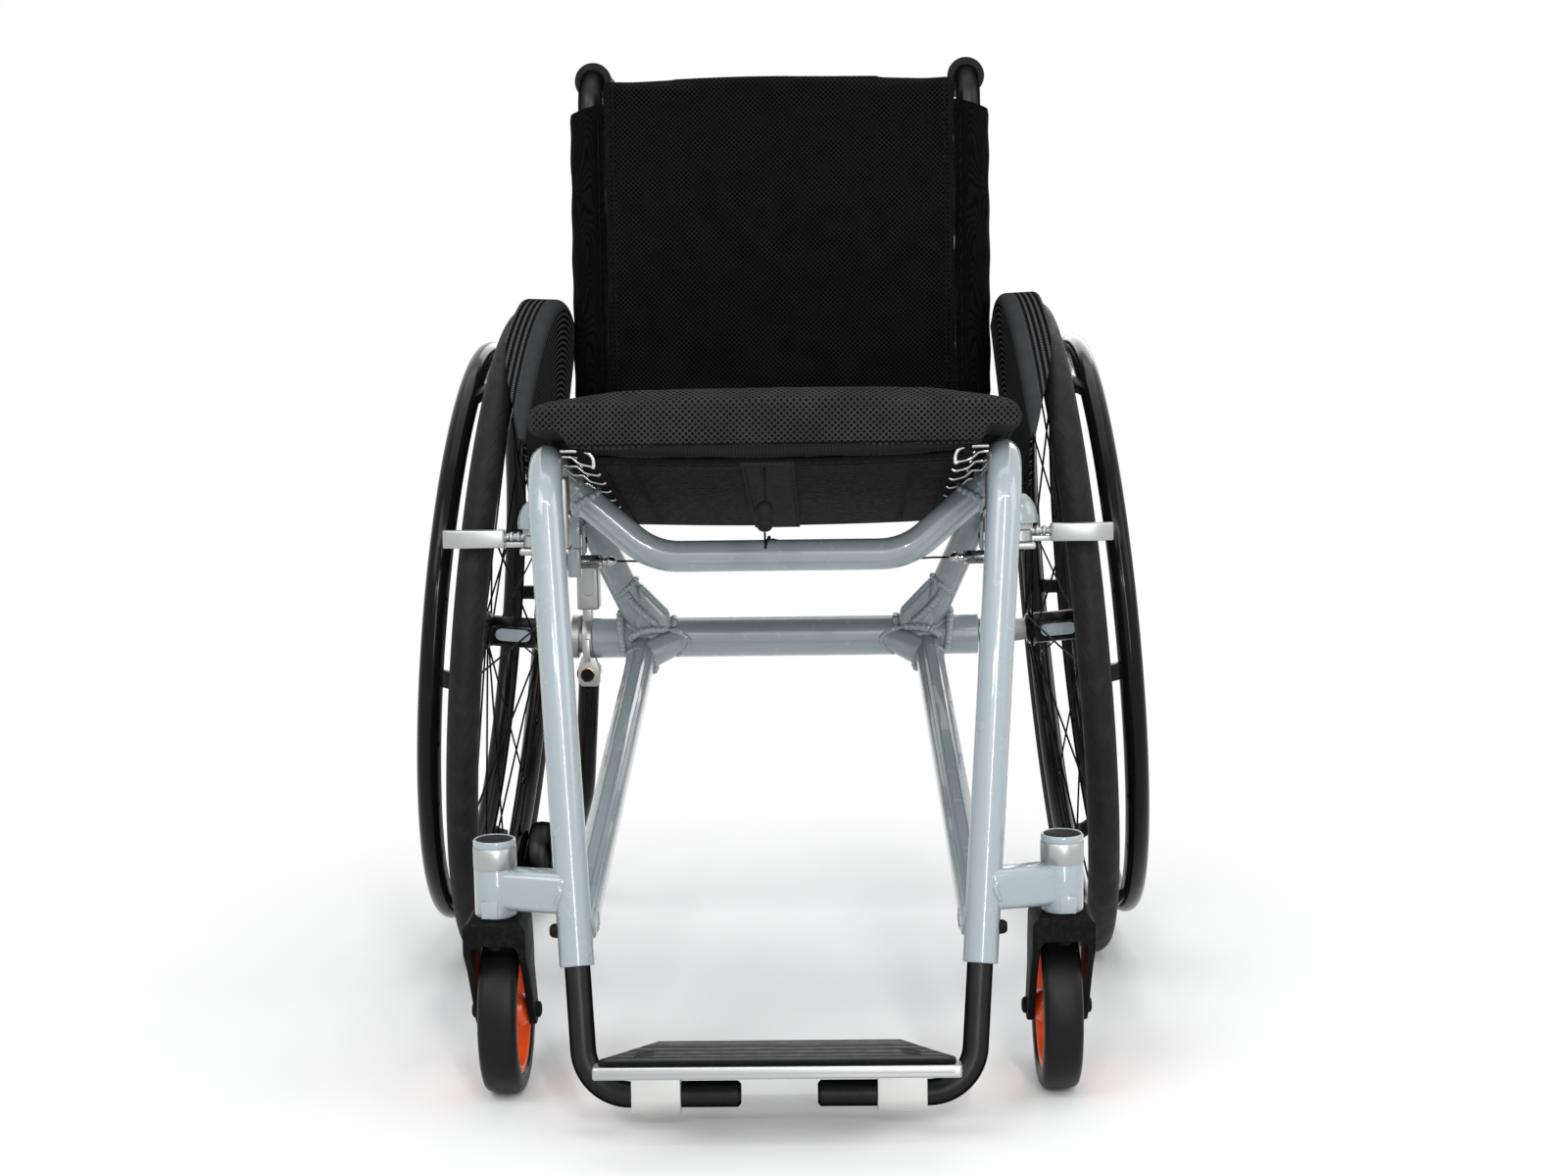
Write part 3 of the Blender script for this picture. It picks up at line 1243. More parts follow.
def sling_cloth():
    columns, rows = 56, 60
    xs = [SLING_HALF * (2 * i / columns - 1) for i in range(columns + 1)]
    rings = []
    for y in spaced(SLING_FRONT_Y, SLING_BACK_Y, rows):

        def pull(x):
            """The hooks draw the edge up and down along its length."""
            edge = max(0.0, abs(x) / SLING_HALF - 0.86) / 0.14
            return 0.0009 * edge * math.cos(math.tau * (y - SLING_FRONT_Y - 0.022) / 0.0421)

        top = [on_sling(x, y, 0.0012 + pull(x)) for x in xs]
        low = [on_sling(x, y, -0.0012 + pull(x)) for x in reversed(xs)]
        rings.append(top + low)
    return add(grid(rings), "sling_cloth", SLING_CLOTH, "frame", ["seat_sling"])


def sling_edges():
    """The bound edges of the sling and the strap under it."""
    front, back = SLING_FRONT_Y, SLING_BACK_Y
    hem = sweep([on_sling(SLING_HALF * 0.995 * (2 * i / 40 - 1), front + 0.0012, -0.0002)
                 for i in range(41)], 0.0021, 14)
    fold = strip((-SLING_HALF * 0.99, SLING_HALF * 0.99), (front + 0.0005, front + 0.020),
                 -0.0018, 0.0005, 40, 6)
    edges = []
    for g, _ in SIDES:
        xs = sorted((g * 0.1325, g * 0.1425))
        edges.append(strip(xs, (front + 0.002, back - 0.002), -0.0016, 0.0006, 3, 60))
        edges.append(sweep([on_sling(g * 0.1425, front + 0.003 + 0.338 * i / 40, -0.0004)
                            for i in range(41)], 0.0019, 12))
    binding = add(merged(hem, fold, *edges), "sling_binding", BINDING)
    parts_of_strap = [strip((-0.026, 0.015), (front + 0.001, back - 0.001), -0.0024, 0.0007, 8, 60)]
    for xs in ((-0.0235, -0.0105), (-0.0065, 0.0065)):
        parts_of_strap.append(strip(xs, (front + 0.0165, front + 0.0195), -0.0034, 0.0005, 4, 2))
    strap = add(merged(*parts_of_strap), "sling_strap", STRAP)
    return binding, strap


def sling_stitches():
    stitches = []

    def stitch_row(points, gap=0.0034):
        line = smooth_path(points, 3)

        def at(share):
            t = share * (len(line) - 1)
            return line[int(t)].lerp(line[min(int(t) + 1, len(line) - 1)], t - int(t))

        count = int(sum((b - a).length for a, b in zip(line, line[1:])) / gap)
        for i in range(count):
            a, b = at((i + 0.2) / count), at((i + 0.78) / count)
            dip = a.lerp(b, 0.5) - Vector((0, 0, 0.0002))
            stitches.append(sweep([a, dip, b], 0.00032, 5))

    for x in (-0.1115, -0.1085, 0.1035, 0.1065, -0.0235, 0.0125):
        lift = -0.0014 if abs(x) > 0.05 else -0.0033
        ys = (SLING_FRONT_Y + 0.004, -0.26, -0.17, -0.09, -0.02)
        stitch_row([on_sling(x, y, lift) for y in ys])
    for back in (0.006, 0.015):
        for xs in ((-0.139, -0.030), (0.019, 0.139)):
            stitch_row([on_sling(x, SLING_FRONT_Y + back, -0.0025) for x in spaced(*xs, 6)])
    return add(merged(*stitches), "sling_stitches", STRAP)


def sling_hooks():
    wire = 0.0012
    hooks = []
    for i in range(SLING_HOOKS):
        y = SLING_FRONT_Y + 0.017 + i * 0.0425
        z = sling_z(SLING_HALF, y)
        edge = SEAT_X - TUBE_R + 0.0008 - (0.0009 if i == 0 else 0)
        path = [(edge, y, z + 0.004), (0.159, y, z + 0.004), (0.156, y + 0.0005, z + 0.0034),
                (0.1535, y + 0.001, z + 0.0012), (0.1505, y + 0.0012, z - 0.0012),
                (0.1475, y + 0.001, z - 0.0022), (0.144, y + 0.0004, z - 0.003),
                (0.1405, y, z - 0.0034), (0.1382, y, z - 0.0022)]
        hooks.append(sweep(smooth_path(path, 5), wire, 10))
        if i < 3:
            bar = [(edge, y + 0.0046, z + 0.0036), (0.157, y + 0.0046, z + 0.0036),
                   (0.152, y + 0.0044, z + 0.003)]
            hooks.append(sweep(bar, wire, 10))
    y, z = SLING_FRONT_Y - 0.003, sling_z(SLING_HALF, SLING_FRONT_Y)
    corner = [(SEAT_X - TUBE_R - 0.001, y + 0.006, z + 0.005), (0.152, y + 0.002, z + 0.0052),
              (0.144, y, z + 0.0048), (0.14, y, z + 0.003), (0.1375, y, z - 0.001),
              (0.1372, y, z - 0.0055), (0.138, y, z - 0.008)]
    hooks.append(sweep(smooth_path(corner, 6), 0.0015, 12))
    return add_pair(merged(*hooks), "sling_hooks", STEEL, sharp=60)


def sling():
    cloth = sling_cloth()
    sewn = [*sling_edges(), sling_stitches()]
    sling_hooks()


def inflated(obj, pressure, cap, free):
    """Blows the skin up as cloth; no point moves further than the cap, times free where given."""
    start = np.array([v.co[:] for v in obj.data.vertices])
    settings = obj.modifiers.new("cloth", "CLOTH").settings
    settings.quality = 6
    settings.mass = 0.3
    settings.use_pressure = True
    settings.uniform_pressure_force = pressure
    settings.tension_stiffness = 12
    settings.compression_stiffness = 12
    settings.bending_stiffness = 0.6
    settings.effector_weights.gravity = 0
    scene = bpy.context.scene
    for step in range(1, 16):
        scene.frame_set(step)
    obj = baked(obj)
    scene.frame_set(1)
    move = np.array([v.co[:] for v in obj.data.vertices]) - start
    size = np.linalg.norm(move, axis=1, keepdims=True)
    limit = cap * (free(start)[:, None] if free else 1.0)
    move *= np.minimum(1.0, limit / np.maximum(size, 1e-9))
    for v, place in zip(obj.data.vertices, start + move):
        v.co = place
    return obj


def plumped(cad, name, mat, body, voxel, pressure, cap, shrink, keep=None, free=None):
    """A cloth pad blown up from its CAD solid; keep holds its points inside a shape."""
    source = frame["nodes"][cad]
    mesh = source.data.copy()
    mesh.transform(source.matrix_world)
    obj = link(name, mesh)
    mesh.materials.clear()
    remesh = obj.modifiers.new("even", "REMESH")
    remesh.mode = "VOXEL"
    remesh.voxel_size = voxel
    obj = baked(obj)
    bm = bmesh.new()
    bm.from_mesh(obj.data)
    bmesh.ops.smooth_vert(bm, verts=bm.verts, factor=0.5,
                          use_axis_x=True, use_axis_y=True, use_axis_z=True)
    bm.normal_update()
    for v in bm.verts:
        v.co -= v.normal * shrink
    bm.to_mesh(obj.data)
    bm.free()
    obj = inflated(obj, pressure, cap, free)
    if keep:
        for v in obj.data.vertices:
            v.co = keep(v.co.copy())
    fine = obj.modifiers.new("fine", "SUBSURF")
    fine.levels = 1
    fine.render_levels = 1
    obj = baked(obj)
    obj.name = name
    obj.data.name = name
    painted(obj, mat)
    obj.data.shade_smooth()
    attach(obj, body)
    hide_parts(cad)
    return obj


def skin_of(obj):
    mesh = obj.data
    return BVHTree.FromPolygons([v.co[:] for v in mesh.vertices],
                                [p.vertices[:] for p in mesh.polygons])


def seam(tree, points, toward, radius, rise):
    """A welt on a surface, below points that are moved along a direction on to it."""
    toward = Vector(toward).normalized()
    line = []
    for p in points:
        hit = tree.ray_cast(Vector(p) - toward * 0.2, toward, 0.5)
        if hit[0] is not None:
            line.append(hit[0] + toward * rise)
    return [sweep(line, radius, 8)] if len(line) > 10 else []


def placed(obj, name, mat, body):
    """As add, for sewn detail that is already in the row frame."""
    obj = moved(obj, Matrix.Translation((0, -AXLE_Y, 0)))
    return add(obj, name, mat, body, (), 60)


def cushion():
    low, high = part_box("seat_cushion")

    def inside(p):
        p.x = min(max(p.x, low[0] - 0.001), high[0] + 0.001)
        p.z = min(p.z, high[2] + 0.003)
        if abs(p.x) > 0.158:
            p.z = max(p.z, seat_z(p.y - AXLE_Y) + TUBE_R * 1.04 + 0.0004)
        return p

    def free(points):
        """No swelling at the two ends, which stay as far apart as in the photograph."""
        return np.clip((0.165 - np.abs(points[:, 0])) / 0.05, 0, 1)

    pad = plumped("seat_cushion", "cushion_cover", SEAT_MESH, "frame", 0.005, 4.0, 0.005, 0.0012,
                  inside, free)
    tree = skin_of(pad)
    front = low[1]
    welts = seam(tree, [(-0.172 + 0.344 * i / 60, front, 0.4925) for i in range(61)], (0, 1, 0),
                 0.0008, 0.0003)
    for g, _ in SIDES:
        ys = [front + 0.020 + 0.325 * i / 40 for i in range(41)]
        side = [(g * 0.2, y, seat_z(y - AXLE_Y) + TUBE_R + 0.0065) for y in ys]
        welts += seam(tree, side, (-g, 0, 0), 0.0008, 0.0003)
    placed(merged(*welts), "cushion_seams", BINDING, "frame")

    rings = []
    for i in range(61):
        x = -0.150 + 0.300 * i / 60
        y = SLING_FRONT_Y - 0.0075 + 0.004 * (abs(x) / 0.15) ** 4
        top, bottom = 0.4915, sling_z(x, SLING_FRONT_Y) + 0.0025
        rings.append([(x, y, top), (x, y - 0.0012, (top + bottom) / 2), (x, y + 0.0008, bottom),
                      (x, y + 0.012, bottom + 0.001), (x, y + 0.012, top)])
    band = add(grid(rings), "cushion_border", BAND, "frame")


# Along the guard: degrees round the wheel, share of the flange's width, how far its lower edge
# is ahead of the axle and how high over it, both in guard radii; None follows the seat rail.
GUARD_STATIONS = (
    (-25, 0.10, -0.3934, 0.8590), (-15, 0.47, -0.2557, 0.5836), (-5, 0.85, -0.1311, 0.3344),
    (5, 1.00, 0.0, None), (15, 1.00, 0.1475, None), (25, 1.00, 0.2951, None),
    (35, 0.78, 0.4328, None), (43, 0.44, 0.5836, 0.4918), (50, 0.10, 0.7279, 0.6230),
)
GUARD_R = WHEEL_R + 0.008
GUARD_X = -0.030


def guard_station(s):
    """Degrees, width, forward and up at a fractional station."""
    last = len(GUARD_STATIONS) - 1
    i = min(int(s), last - 1)
    rows = []
    for k in (-1, 0, 1, 2):
        degrees, width, ahead, above = GUARD_STATIONS[min(max(i + k, 0), last)]
        forward = GUARD_R * ahead
        up = seat_z(-forward) - 0.0125 - WHEEL_Z if above is None else GUARD_R * above
        rows.append(Vector((degrees, width, forward)).to_tuple() + (up,))
    return [catmull(*values, s - i) for values in zip(*rows)]


def guards():
    place = wheel_frame()
    rows = []
    count = 96
    for k in range(count + 1):
        degrees, width, forward, up = guard_station((len(GUARD_STATIONS) - 1) * k / count)
        flange = 0.032 * max(width, 0.06)
        bend = min(0.007, flange * 0.8)
        a = math.radians(degrees)

        def at(along, r):
            return place @ Vector((along, -r * math.sin(a), r * math.cos(a)))

        low = place @ Vector((GUARD_X, -forward, up))
        high = at(GUARD_X, GUARD_R - bend)
        row = [low.lerp(high, i / 7) for i in range(8)]
        for i in range(1, 8):
            t = math.radians(90 * i / 7)
            row.append(at(GUARD_X + bend * (1 - math.cos(t)), GUARD_R - bend + bend * math.sin(t)))
        for i in range(1, 6):
            out = GUARD_X + bend + (flange - bend) * i / 5
            row.append(at(out, GUARD_R - bend * 0.14 * i / 5))
        rows.append(row)
    shell = grid(rows, closed_ring=False, caps=False)
    wall = shell.modifiers.new("wall", "SOLIDIFY")
    wall.thickness = 0.0024
    wall.offset = 0
    shell = painted(baked(shell), RUBBER)
    pegs = []
    for y in (-0.140, -0.045):
        z = seat_z(y)
        panel = place @ Vector((GUARD_X, y, z - WHEEL_Z))
        peg = rod((SEAT_X + TUBE_R + 0.0004, y, z), (panel.x, y, z), 0.004, 20)
        head = screw((panel.x + 0.001, y, z), (1, 0, 0), 0.0045, 0.002, BLACK)
        pegs += [painted(peg, BLACK), head]
    made = add_pair(merged(shell, *pegs), "guard_panel", None,
                    "frame", ["side_guard_{s}"], 40)
    for piece, (_, side) in zip(made, SIDES):
        for i, mat in enumerate(piece.data.materials):
            if mat is None or mat.name != BLACK.name:
                piece.data.materials[i] = carbon_weave(side)


# Back

LEAN = math.atan2(BACK_HIGH.y - BACK_LOW.y, BACK_HIGH.z - BACK_LOW.z)


def back_axis(z):
    share = (z - BACK_LOW.z) / (BACK_HIGH.z - BACK_LOW.z)
    return BACK_LOW + (BACK_HIGH - BACK_LOW) * share


def leaned(z):
    """Local axes on the leaning back: Y to the front, Z up along the tubes."""
    centre = back_axis(z)
    place = Matrix.Translation((0, centre.y, centre.z))
    return place @ Matrix.Rotation(-LEAN, 4, "X") @ Matrix.Diagonal((1, -1, 1, 1))


def rounded_bar(start, end, radius):
    """Outline of a flat bar with round ends."""
    heading = math.degrees(math.atan2(end[1] - start[1], end[0] - start[0]))
    return [*arc(end, radius, heading - 90, heading + 90, 14),
            *arc(start, radius, heading + 90, heading + 270, 14)]


def back_tubes():
    end = Vector((BACK_X, 0.172, BACK_HIGH.z + 0.002))
    pole = eased(filleted([BACK_LOW, BACK_HIGH, end], 0.030, 16), 0.011, sides=36)
    pivot = (0.0, seat_z(0.0))
    foot = back_axis(pivot[1] + 0.012)
    inside = 0.1905
    middle = inside + 0.00225
    link_plate = solid(rounded_bar((LOCK_Y, LOCK_Z), pivot, 0.0095), 0.00225,
                       side_plane(middle), 0.0006, 2)
    rear_plate = solid(rounded_bar(pivot, (foot.y, foot.z), 0.0105), 0.00215,
                       side_plane(middle), 0.0006, 2)
    boss = rod((BACK_X + 0.004, foot.y, foot.z), (middle, foot.y, foot.z), 0.0085, 28)
    bolt = screw((inside + 0.0045, foot.y, foot.z), (1, 0, 0), 0.0052, 0.0026)
    add_pair(merged(pole, link_plate, rear_plate, boss, bolt), "back_pole", SATIN,
             "back", ["back_tube_{s}"])
    stub = rod((SEAT_X, 0, pivot[1]), (0.1972, 0, pivot[1]), 0.005, 28)
    head = screw((0.1953, 0, pivot[1]), (1, 0, 0), 0.0078, 0.0024)
    add_pair(merged(stub, head), "back_pivot_bolt", STEEL)


def handle_grips():
    start, stop = 0.094, 0.184
    ribs = []
    for i in range(13):
        y = 0.1165 + i * 0.0044
        ribs += shifted(y, (0, 0.0145), (0.001, 0.0139), (0.0022, 0.0139), (0.0032, 0.0145))
    profile = [
        *shifted(stop, (0, 0), (0, 0.007), (-0.0006, 0.0105), (-0.0018, 0.0132), (-0.004, 0.0145)),
        *reversed(ribs),
        *shifted(start, (0.015, 0.0145), (0.009, 0.016), (0.006, 0.0171), (0.001, 0.0172),
                 (0, 0.0166), (0, 0)),
    ]
    place = Matrix.Translation((BACK_X, 0, BACK_HIGH.z + 0.0014)) @ spin(90, "Z")
    add_pair(turned(profile, 56, False, place), "handle_grip", GRIP,
             "back", ["push_grip_{s}"])


def cross_bar():
    centre = back_axis(0.493)
    bar = rod((-BACK_X, centre.y, centre.z), (BACK_X, centre.y, centre.z), 0.008, 32)
    add(bar, "cross_bar", SATIN, "back", ["back_crossbar"])


def back_sleeves():
    inner_x, outer_x = 0.1592, 0.1920
    middle_x, half_x, half_y = (inner_x + outer_x) / 2, (outer_x - inner_x) / 2, 0.0142
    length = (0.776 - 0.505) / math.cos(LEAN)
    base = leaned(0.505)
    count = 56

    def rounding(t):
        """Rises from 0 to 1 over the first thirtieth of the length."""
        return math.sqrt(max(0.0, 1 - max(0.0, 1 - t * 30) ** 2))

    rings = []
    for k in range(count + 1):
        t = k / count
        swell = 0.93 + 0.07 * min(rounding(t), rounding(1 - t))
        ring = []
        for i in range(40):
            a = math.tau * i / 40
            fold = (0.00035 * math.sin(9 * a + 14 * t) * math.sin(math.pi * t)
                    + 0.0004 * math.sin(37 * t + 2 * math.cos(a)))
            r_x, r_y = half_x * swell + fold, half_y * swell + fold
            slant = 0.010 * (middle_x + half_x * math.cos(a) - inner_x) / (2 * half_x) * t
            ring.append(base @ Vector((middle_x + r_x * math.cos(a), r_y * math.sin(a),
                                       length * t - slant)))
        rings.append(ring)
    line = [base @ Vector((middle_x - half_x * 0.62, half_y * 0.785 + 0.0002,
                           (length - 0.002) * k / count)) for k in range(3, count - 2)]
    welt = painted(sweep(line, 0.0006, 8), BINDING)
    sleeve = merged(painted(grid(rings), WRAP_CLOTH), welt)
    for piece in add_pair(sleeve, "back_sleeve", None, "back",
                          ["back_wrap_{s}"], 60):
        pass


def back_panel():
    low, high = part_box("back_panel")
    panel = plumped("back_panel", "back_cover", BACK_MESH, "back", 0.0045, 3.0, 0.003, 0.0016)
    lines = [[(x, 0, z) for z in np.linspace(low[2] + 0.006, high[2] - 0.010, 60)]
             for x in (-0.1545, -0.1505, 0.1505, 0.1545)]
    lines.append([(x, 0, low[2] + 0.014) for x in np.linspace(-0.150, 0.150, 60)])
    tree = skin_of(panel)
    welts = []
    for line in lines:
        welts += seam(tree, line, (0, 1, 0), 0.0007, 0.0002)
    placed(merged(*welts), "back_seams", BINDING, "back")


# Lock, brakes and anti-tipper

def back_lock():
    block = box((0.1775, LOCK_Y - 0.0095, LOCK_Z - 0.013),
                (0.1890, LOCK_Y + 0.0095, LOCK_Z + 0.013), 0.0018, 3)
    web = box((0.1780, LOCK_Y - 0.0075, LOCK_Z + 0.006),
              (0.1885, LOCK_Y + 0.0075, seat_z(LOCK_Y) - 0.006), 0.0008, 2)
    block = painted(merged(block, web), PAINT)
    at = Matrix.Translation((0, LOCK_Y, LOCK_Z))
    barrel = [*shifted(BARREL_IN, (0, 0.0034), (0, 0.0052), (0.0004, 0.0057), (0.0015, 0.006)),
              *shifted(0.17, (0, 0.006), (0.0003, 0.0056), (0.0012, 0.0056), (0.0015, 0.006)),
              (0.179, 0.006), (0.179, 0.0034)]
    nut = shifted(BARREL_IN, (0, 0.0056), (0, 0.0064), (0.0004, 0.0068), (0.0028, 0.0068),
                  (0.0032, 0.0064), (0.0032, 0.0056))
    barrel = painted(turned(barrel, 40, True, at), DARK_CHROME)
    nut = painted(turned(nut, 6, True, at), STEEL)
    ear = [(-0.012, -0.006), (0.004, -0.006), (0.010, 0.002), (0.010, 0.020), (-0.012, 0.020)]
    ear_at = side_plane(0.1755) @ Matrix.Translation((LOCK_Y + 0.012, LOCK_Z + 0.012, 0))
    ear = painted(solid(ear, 0.0015, ear_at, 0.0008, 2), PAINT)
    hole = painted(rod((0.1730, LOCK_Y + 0.010, LOCK_Z + 0.018),
                       (0.1742, LOCK_Y + 0.010, LOCK_Z + 0.018), 0.003, 20), RUBBER)
    add_pair(merged(block, barrel, nut, ear, hole), "lock_housing", None,
             "frame", ["lock_block_{s}"])
    tip, neck = 0.1900, BARREL_IN - 0.004
    pin = [*shifted(tip, (0, 0), (0, 0.0024), (-0.0008, 0.003)),
           *shifted(neck, (0, 0.003), (-0.0006, 0.0042), (-0.0014, 0.0046), (-0.003, 0.0046),
                    (-0.0044, 0.0044), (-0.006, 0.0036), (-0.0072, 0.0024), (-0.008, 0.0014),
                    (-0.008, 0))]
    add_pair(turned(pin, 36, False, at), "lock_bolt", STEEL,
             "lock_pin_body_{s}", ["lock_pin_{s}"])


def bent(piece):
    """Lets a cord bend between a sliding body and the frame."""
    home = piece.matrix_world.copy()
    piece.parent = None
    piece.matrix_world = home
    del piece["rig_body"]
    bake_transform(piece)


def pull_knob():
    half = KNOB_LENGTH / 2
    groove_at = KNOB_TOP - KNOB_LENGTH * 0.68
    shape = []
    for k in range(25):
        a = math.radians(-90 + 180 * k / 24)
        z = KNOB_TOP - half + half * math.copysign(abs(math.sin(a)) ** 0.86, math.sin(a))
        r = 0.0075 * max(math.cos(a), 0) ** 0.72 if 0 < k < 24 else 0
        shape.append((z, max(0, r - (0.0005 if abs(z - groove_at) < 0.0009 else 0))))
    place = upright(KNOB_X, KNOB_Y)
    groove = shifted(groove_at, (-0.0003, 0.0068), (-0.0003, 0.0073), (0.0003, 0.0073),
                     (0.0003, 0.0068))
    knob = merged(turned(shape[::-1], 48, False, place), turned(groove, 40, True, place))
    return add(knob, "pull_toggle", GRIP, "release_knob", ["pull_knob"])


def pull_cord(knob):
    top = sling_z(KNOB_X, KNOB_Y) + 0.0038
    points = [Vector((KNOB_X, KNOB_Y, top - (top - KNOB_TOP - 0.0002) * i / 16))
              for i in range(17)]
    radii = [0.0014 * (1 + 0.05 * math.cos(math.pi * i)) for i in range(17)]
    braid = add(sweep(points, radii, 14), "pull_cord_braid", CORD, "frame", ["pull_cord"])
    bent(braid)


def wire(points, name, body, moving, still):
    """A length of steel wire that bends between the frame and a sliding body."""
    piece = add(sweep(points, 0.0009, 10), name, CORD, "frame", ["release_wire"], 60)
    bent(piece)


def release():
    """The knob, its cord up to the sling, and the wires over the cross tube to the lock pins."""
    pull_cord(pull_knob())
    over = CROSS_Z + TUBE_R + 0.001 + GAP
    low = Vector((KNOB_X, KNOB_Y, KNOB_TOP - KNOB_LENGTH - GAP))
    level = Vector((KNOB_X, -0.250, over + 0.0045))
    parting = Vector((KNOB_X, CROSS_Y + 0.045, over - 0.006))
    corner = (KNOB_X, KNOB_Y, KNOB_TOP - KNOB_LENGTH - 0.0135)
    turn = filleted([low, corner, (KNOB_X, -0.280, over + 0.0055)], 0.0085, 9)
    ahead = smooth_path([turn[-1], level, (KNOB_X, CROSS_Y, over + 0.0015), parting], 8)
    wire(turn[:-1] + ahead, "release_cable", "release_knob", low, level)
    pin_end = BARREL_IN - 0.012 - 2 * GAP
    for g, side in SIDES:
        first = parting + Vector((g * 0.0014, 0.0004, 0))
        tip = (g * pin_end, LOCK_Y, LOCK_Z)
        branch = smooth_path([first, (g * 0.070, LOCK_Y - 0.035, LOCK_Z + 0.004),
                              (g * (pin_end - 0.012), LOCK_Y, LOCK_Z), tip], 12)
        wire(branch, f"release_cable_{side}", f"lock_pin_body_{side}", tip,
             (g * 0.080, LOCK_Y, LOCK_Z))


BRAKE_LIFT = 0.0065


def brakes():
    arm_z = BRAKE_Z + BRAKE_LIFT
    low = arm_z - 0.0073
    shelf_low = low - 0.0055
    place = upright(BRAKE_X, BRAKE_Y)
    post = box((0.1650, BRAKE_Y - 0.012, shelf_low),
               (0.1755, BRAKE_Y + 0.012, seat_z(BRAKE_Y) - TUBE_R * 0.6), 0.0022, 3)
    shelf = box((0.1638, BRAKE_Y - 0.013, shelf_low), (BRAKE_X + 0.0125, BRAKE_Y + 0.013, low),
                0.002, 3)
    under = screw((BRAKE_X, BRAKE_Y, shelf_low), (0, 0, -1), 0.0048, 0.003, BLACK)
    side_bolt = screw((0.1650, BRAKE_Y, low + 0.024), (-1, 0, 0), 0.004, 0.002)
    pin = rod((BRAKE_X, BRAKE_Y, low - 0.002), (BRAKE_X, BRAKE_Y, arm_z + 0.017), 0.0039, 24)
    metal = painted(merged(post, shelf, side_bolt, pin), SILVER)
    add_pair(merged(metal, under), "brake_bracket", None, "frame", ["brake_mount_{s}"])

    rear, inner, outer = -0.2797, 0.217, 0.2655
    front = rear - 0.009
    bar = [(inner - 0.001, front + 0.0008), (inner + 0.001, front), (outer - 0.018, front - 0.0015),
           (outer - 0.004, front + 0.0006), (outer - 0.001, front + 0.0022),
           (outer, front + 0.0044), (outer, rear - 0.0024), (outer - 0.0006, rear - 0.0008),
           (outer - 0.0024, rear), (inner - 0.001, rear)]
    bar = solid(bar, 0.007, Matrix.Translation((0, 0, arm_z)), 0.0009, 3)
    neck = box((BRAKE_X, BRAKE_Y - 0.0052, arm_z - 0.007),
               (inner, BRAKE_Y + 0.0004, arm_z - 0.0028), 0.0008, 2)
    rope = [(inner - 0.0005 - 0.0255 * i / 40, 0.0034 + 0.0007 * math.cos(math.tau * 4.5 * i / 40))
            for i in range(41)]
    ridged = turned([(rope[0][0], 0), *rope, (rope[-1][0], 0)], 36, False,
                    Matrix.Translation((0, BRAKE_Y - 0.0026, arm_z + 0.0012)))
    eye = turned([(-0.007, 0.0042), (-0.007, 0.0105), (-0.0062, 0.0113), (0.0018, 0.0113),
                  (0.0026, 0.0105), (0.0026, 0.0042)], 48, True,
                 place @ Matrix.Translation((arm_z, 0, 0)))
    arm = painted(merged(bar, neck, ridged, eye), BRIGHT)
    base, rise, dome_r = arm_z + 0.0095, 0.0215, 0.0145
    dome = [(base + rise * math.sin(math.radians(a)), dome_r * math.cos(math.radians(a)))
            for a in range(84, -1, -6)]
    cap = turned([(base + rise, 0), *dome, *shifted(base, (-0.001, dome_r), (-0.0016, 0.014),
                                                    (-0.0016, 0))], 64, False, place)
    washer = turned(shifted(base, (-0.0066, 0), (-0.0066, 0.0104), (-0.0062, 0.0108),
                            (-0.0018, 0.0108), (-0.0014, 0.0104), (-0.0014, 0)), 48, False, place)
    add_pair(merged(arm, painted(cap, PAINT), painted(washer, IVORY)), "brake_lever", None,
             "brake_{s}", ["brake_arm_{s}"])


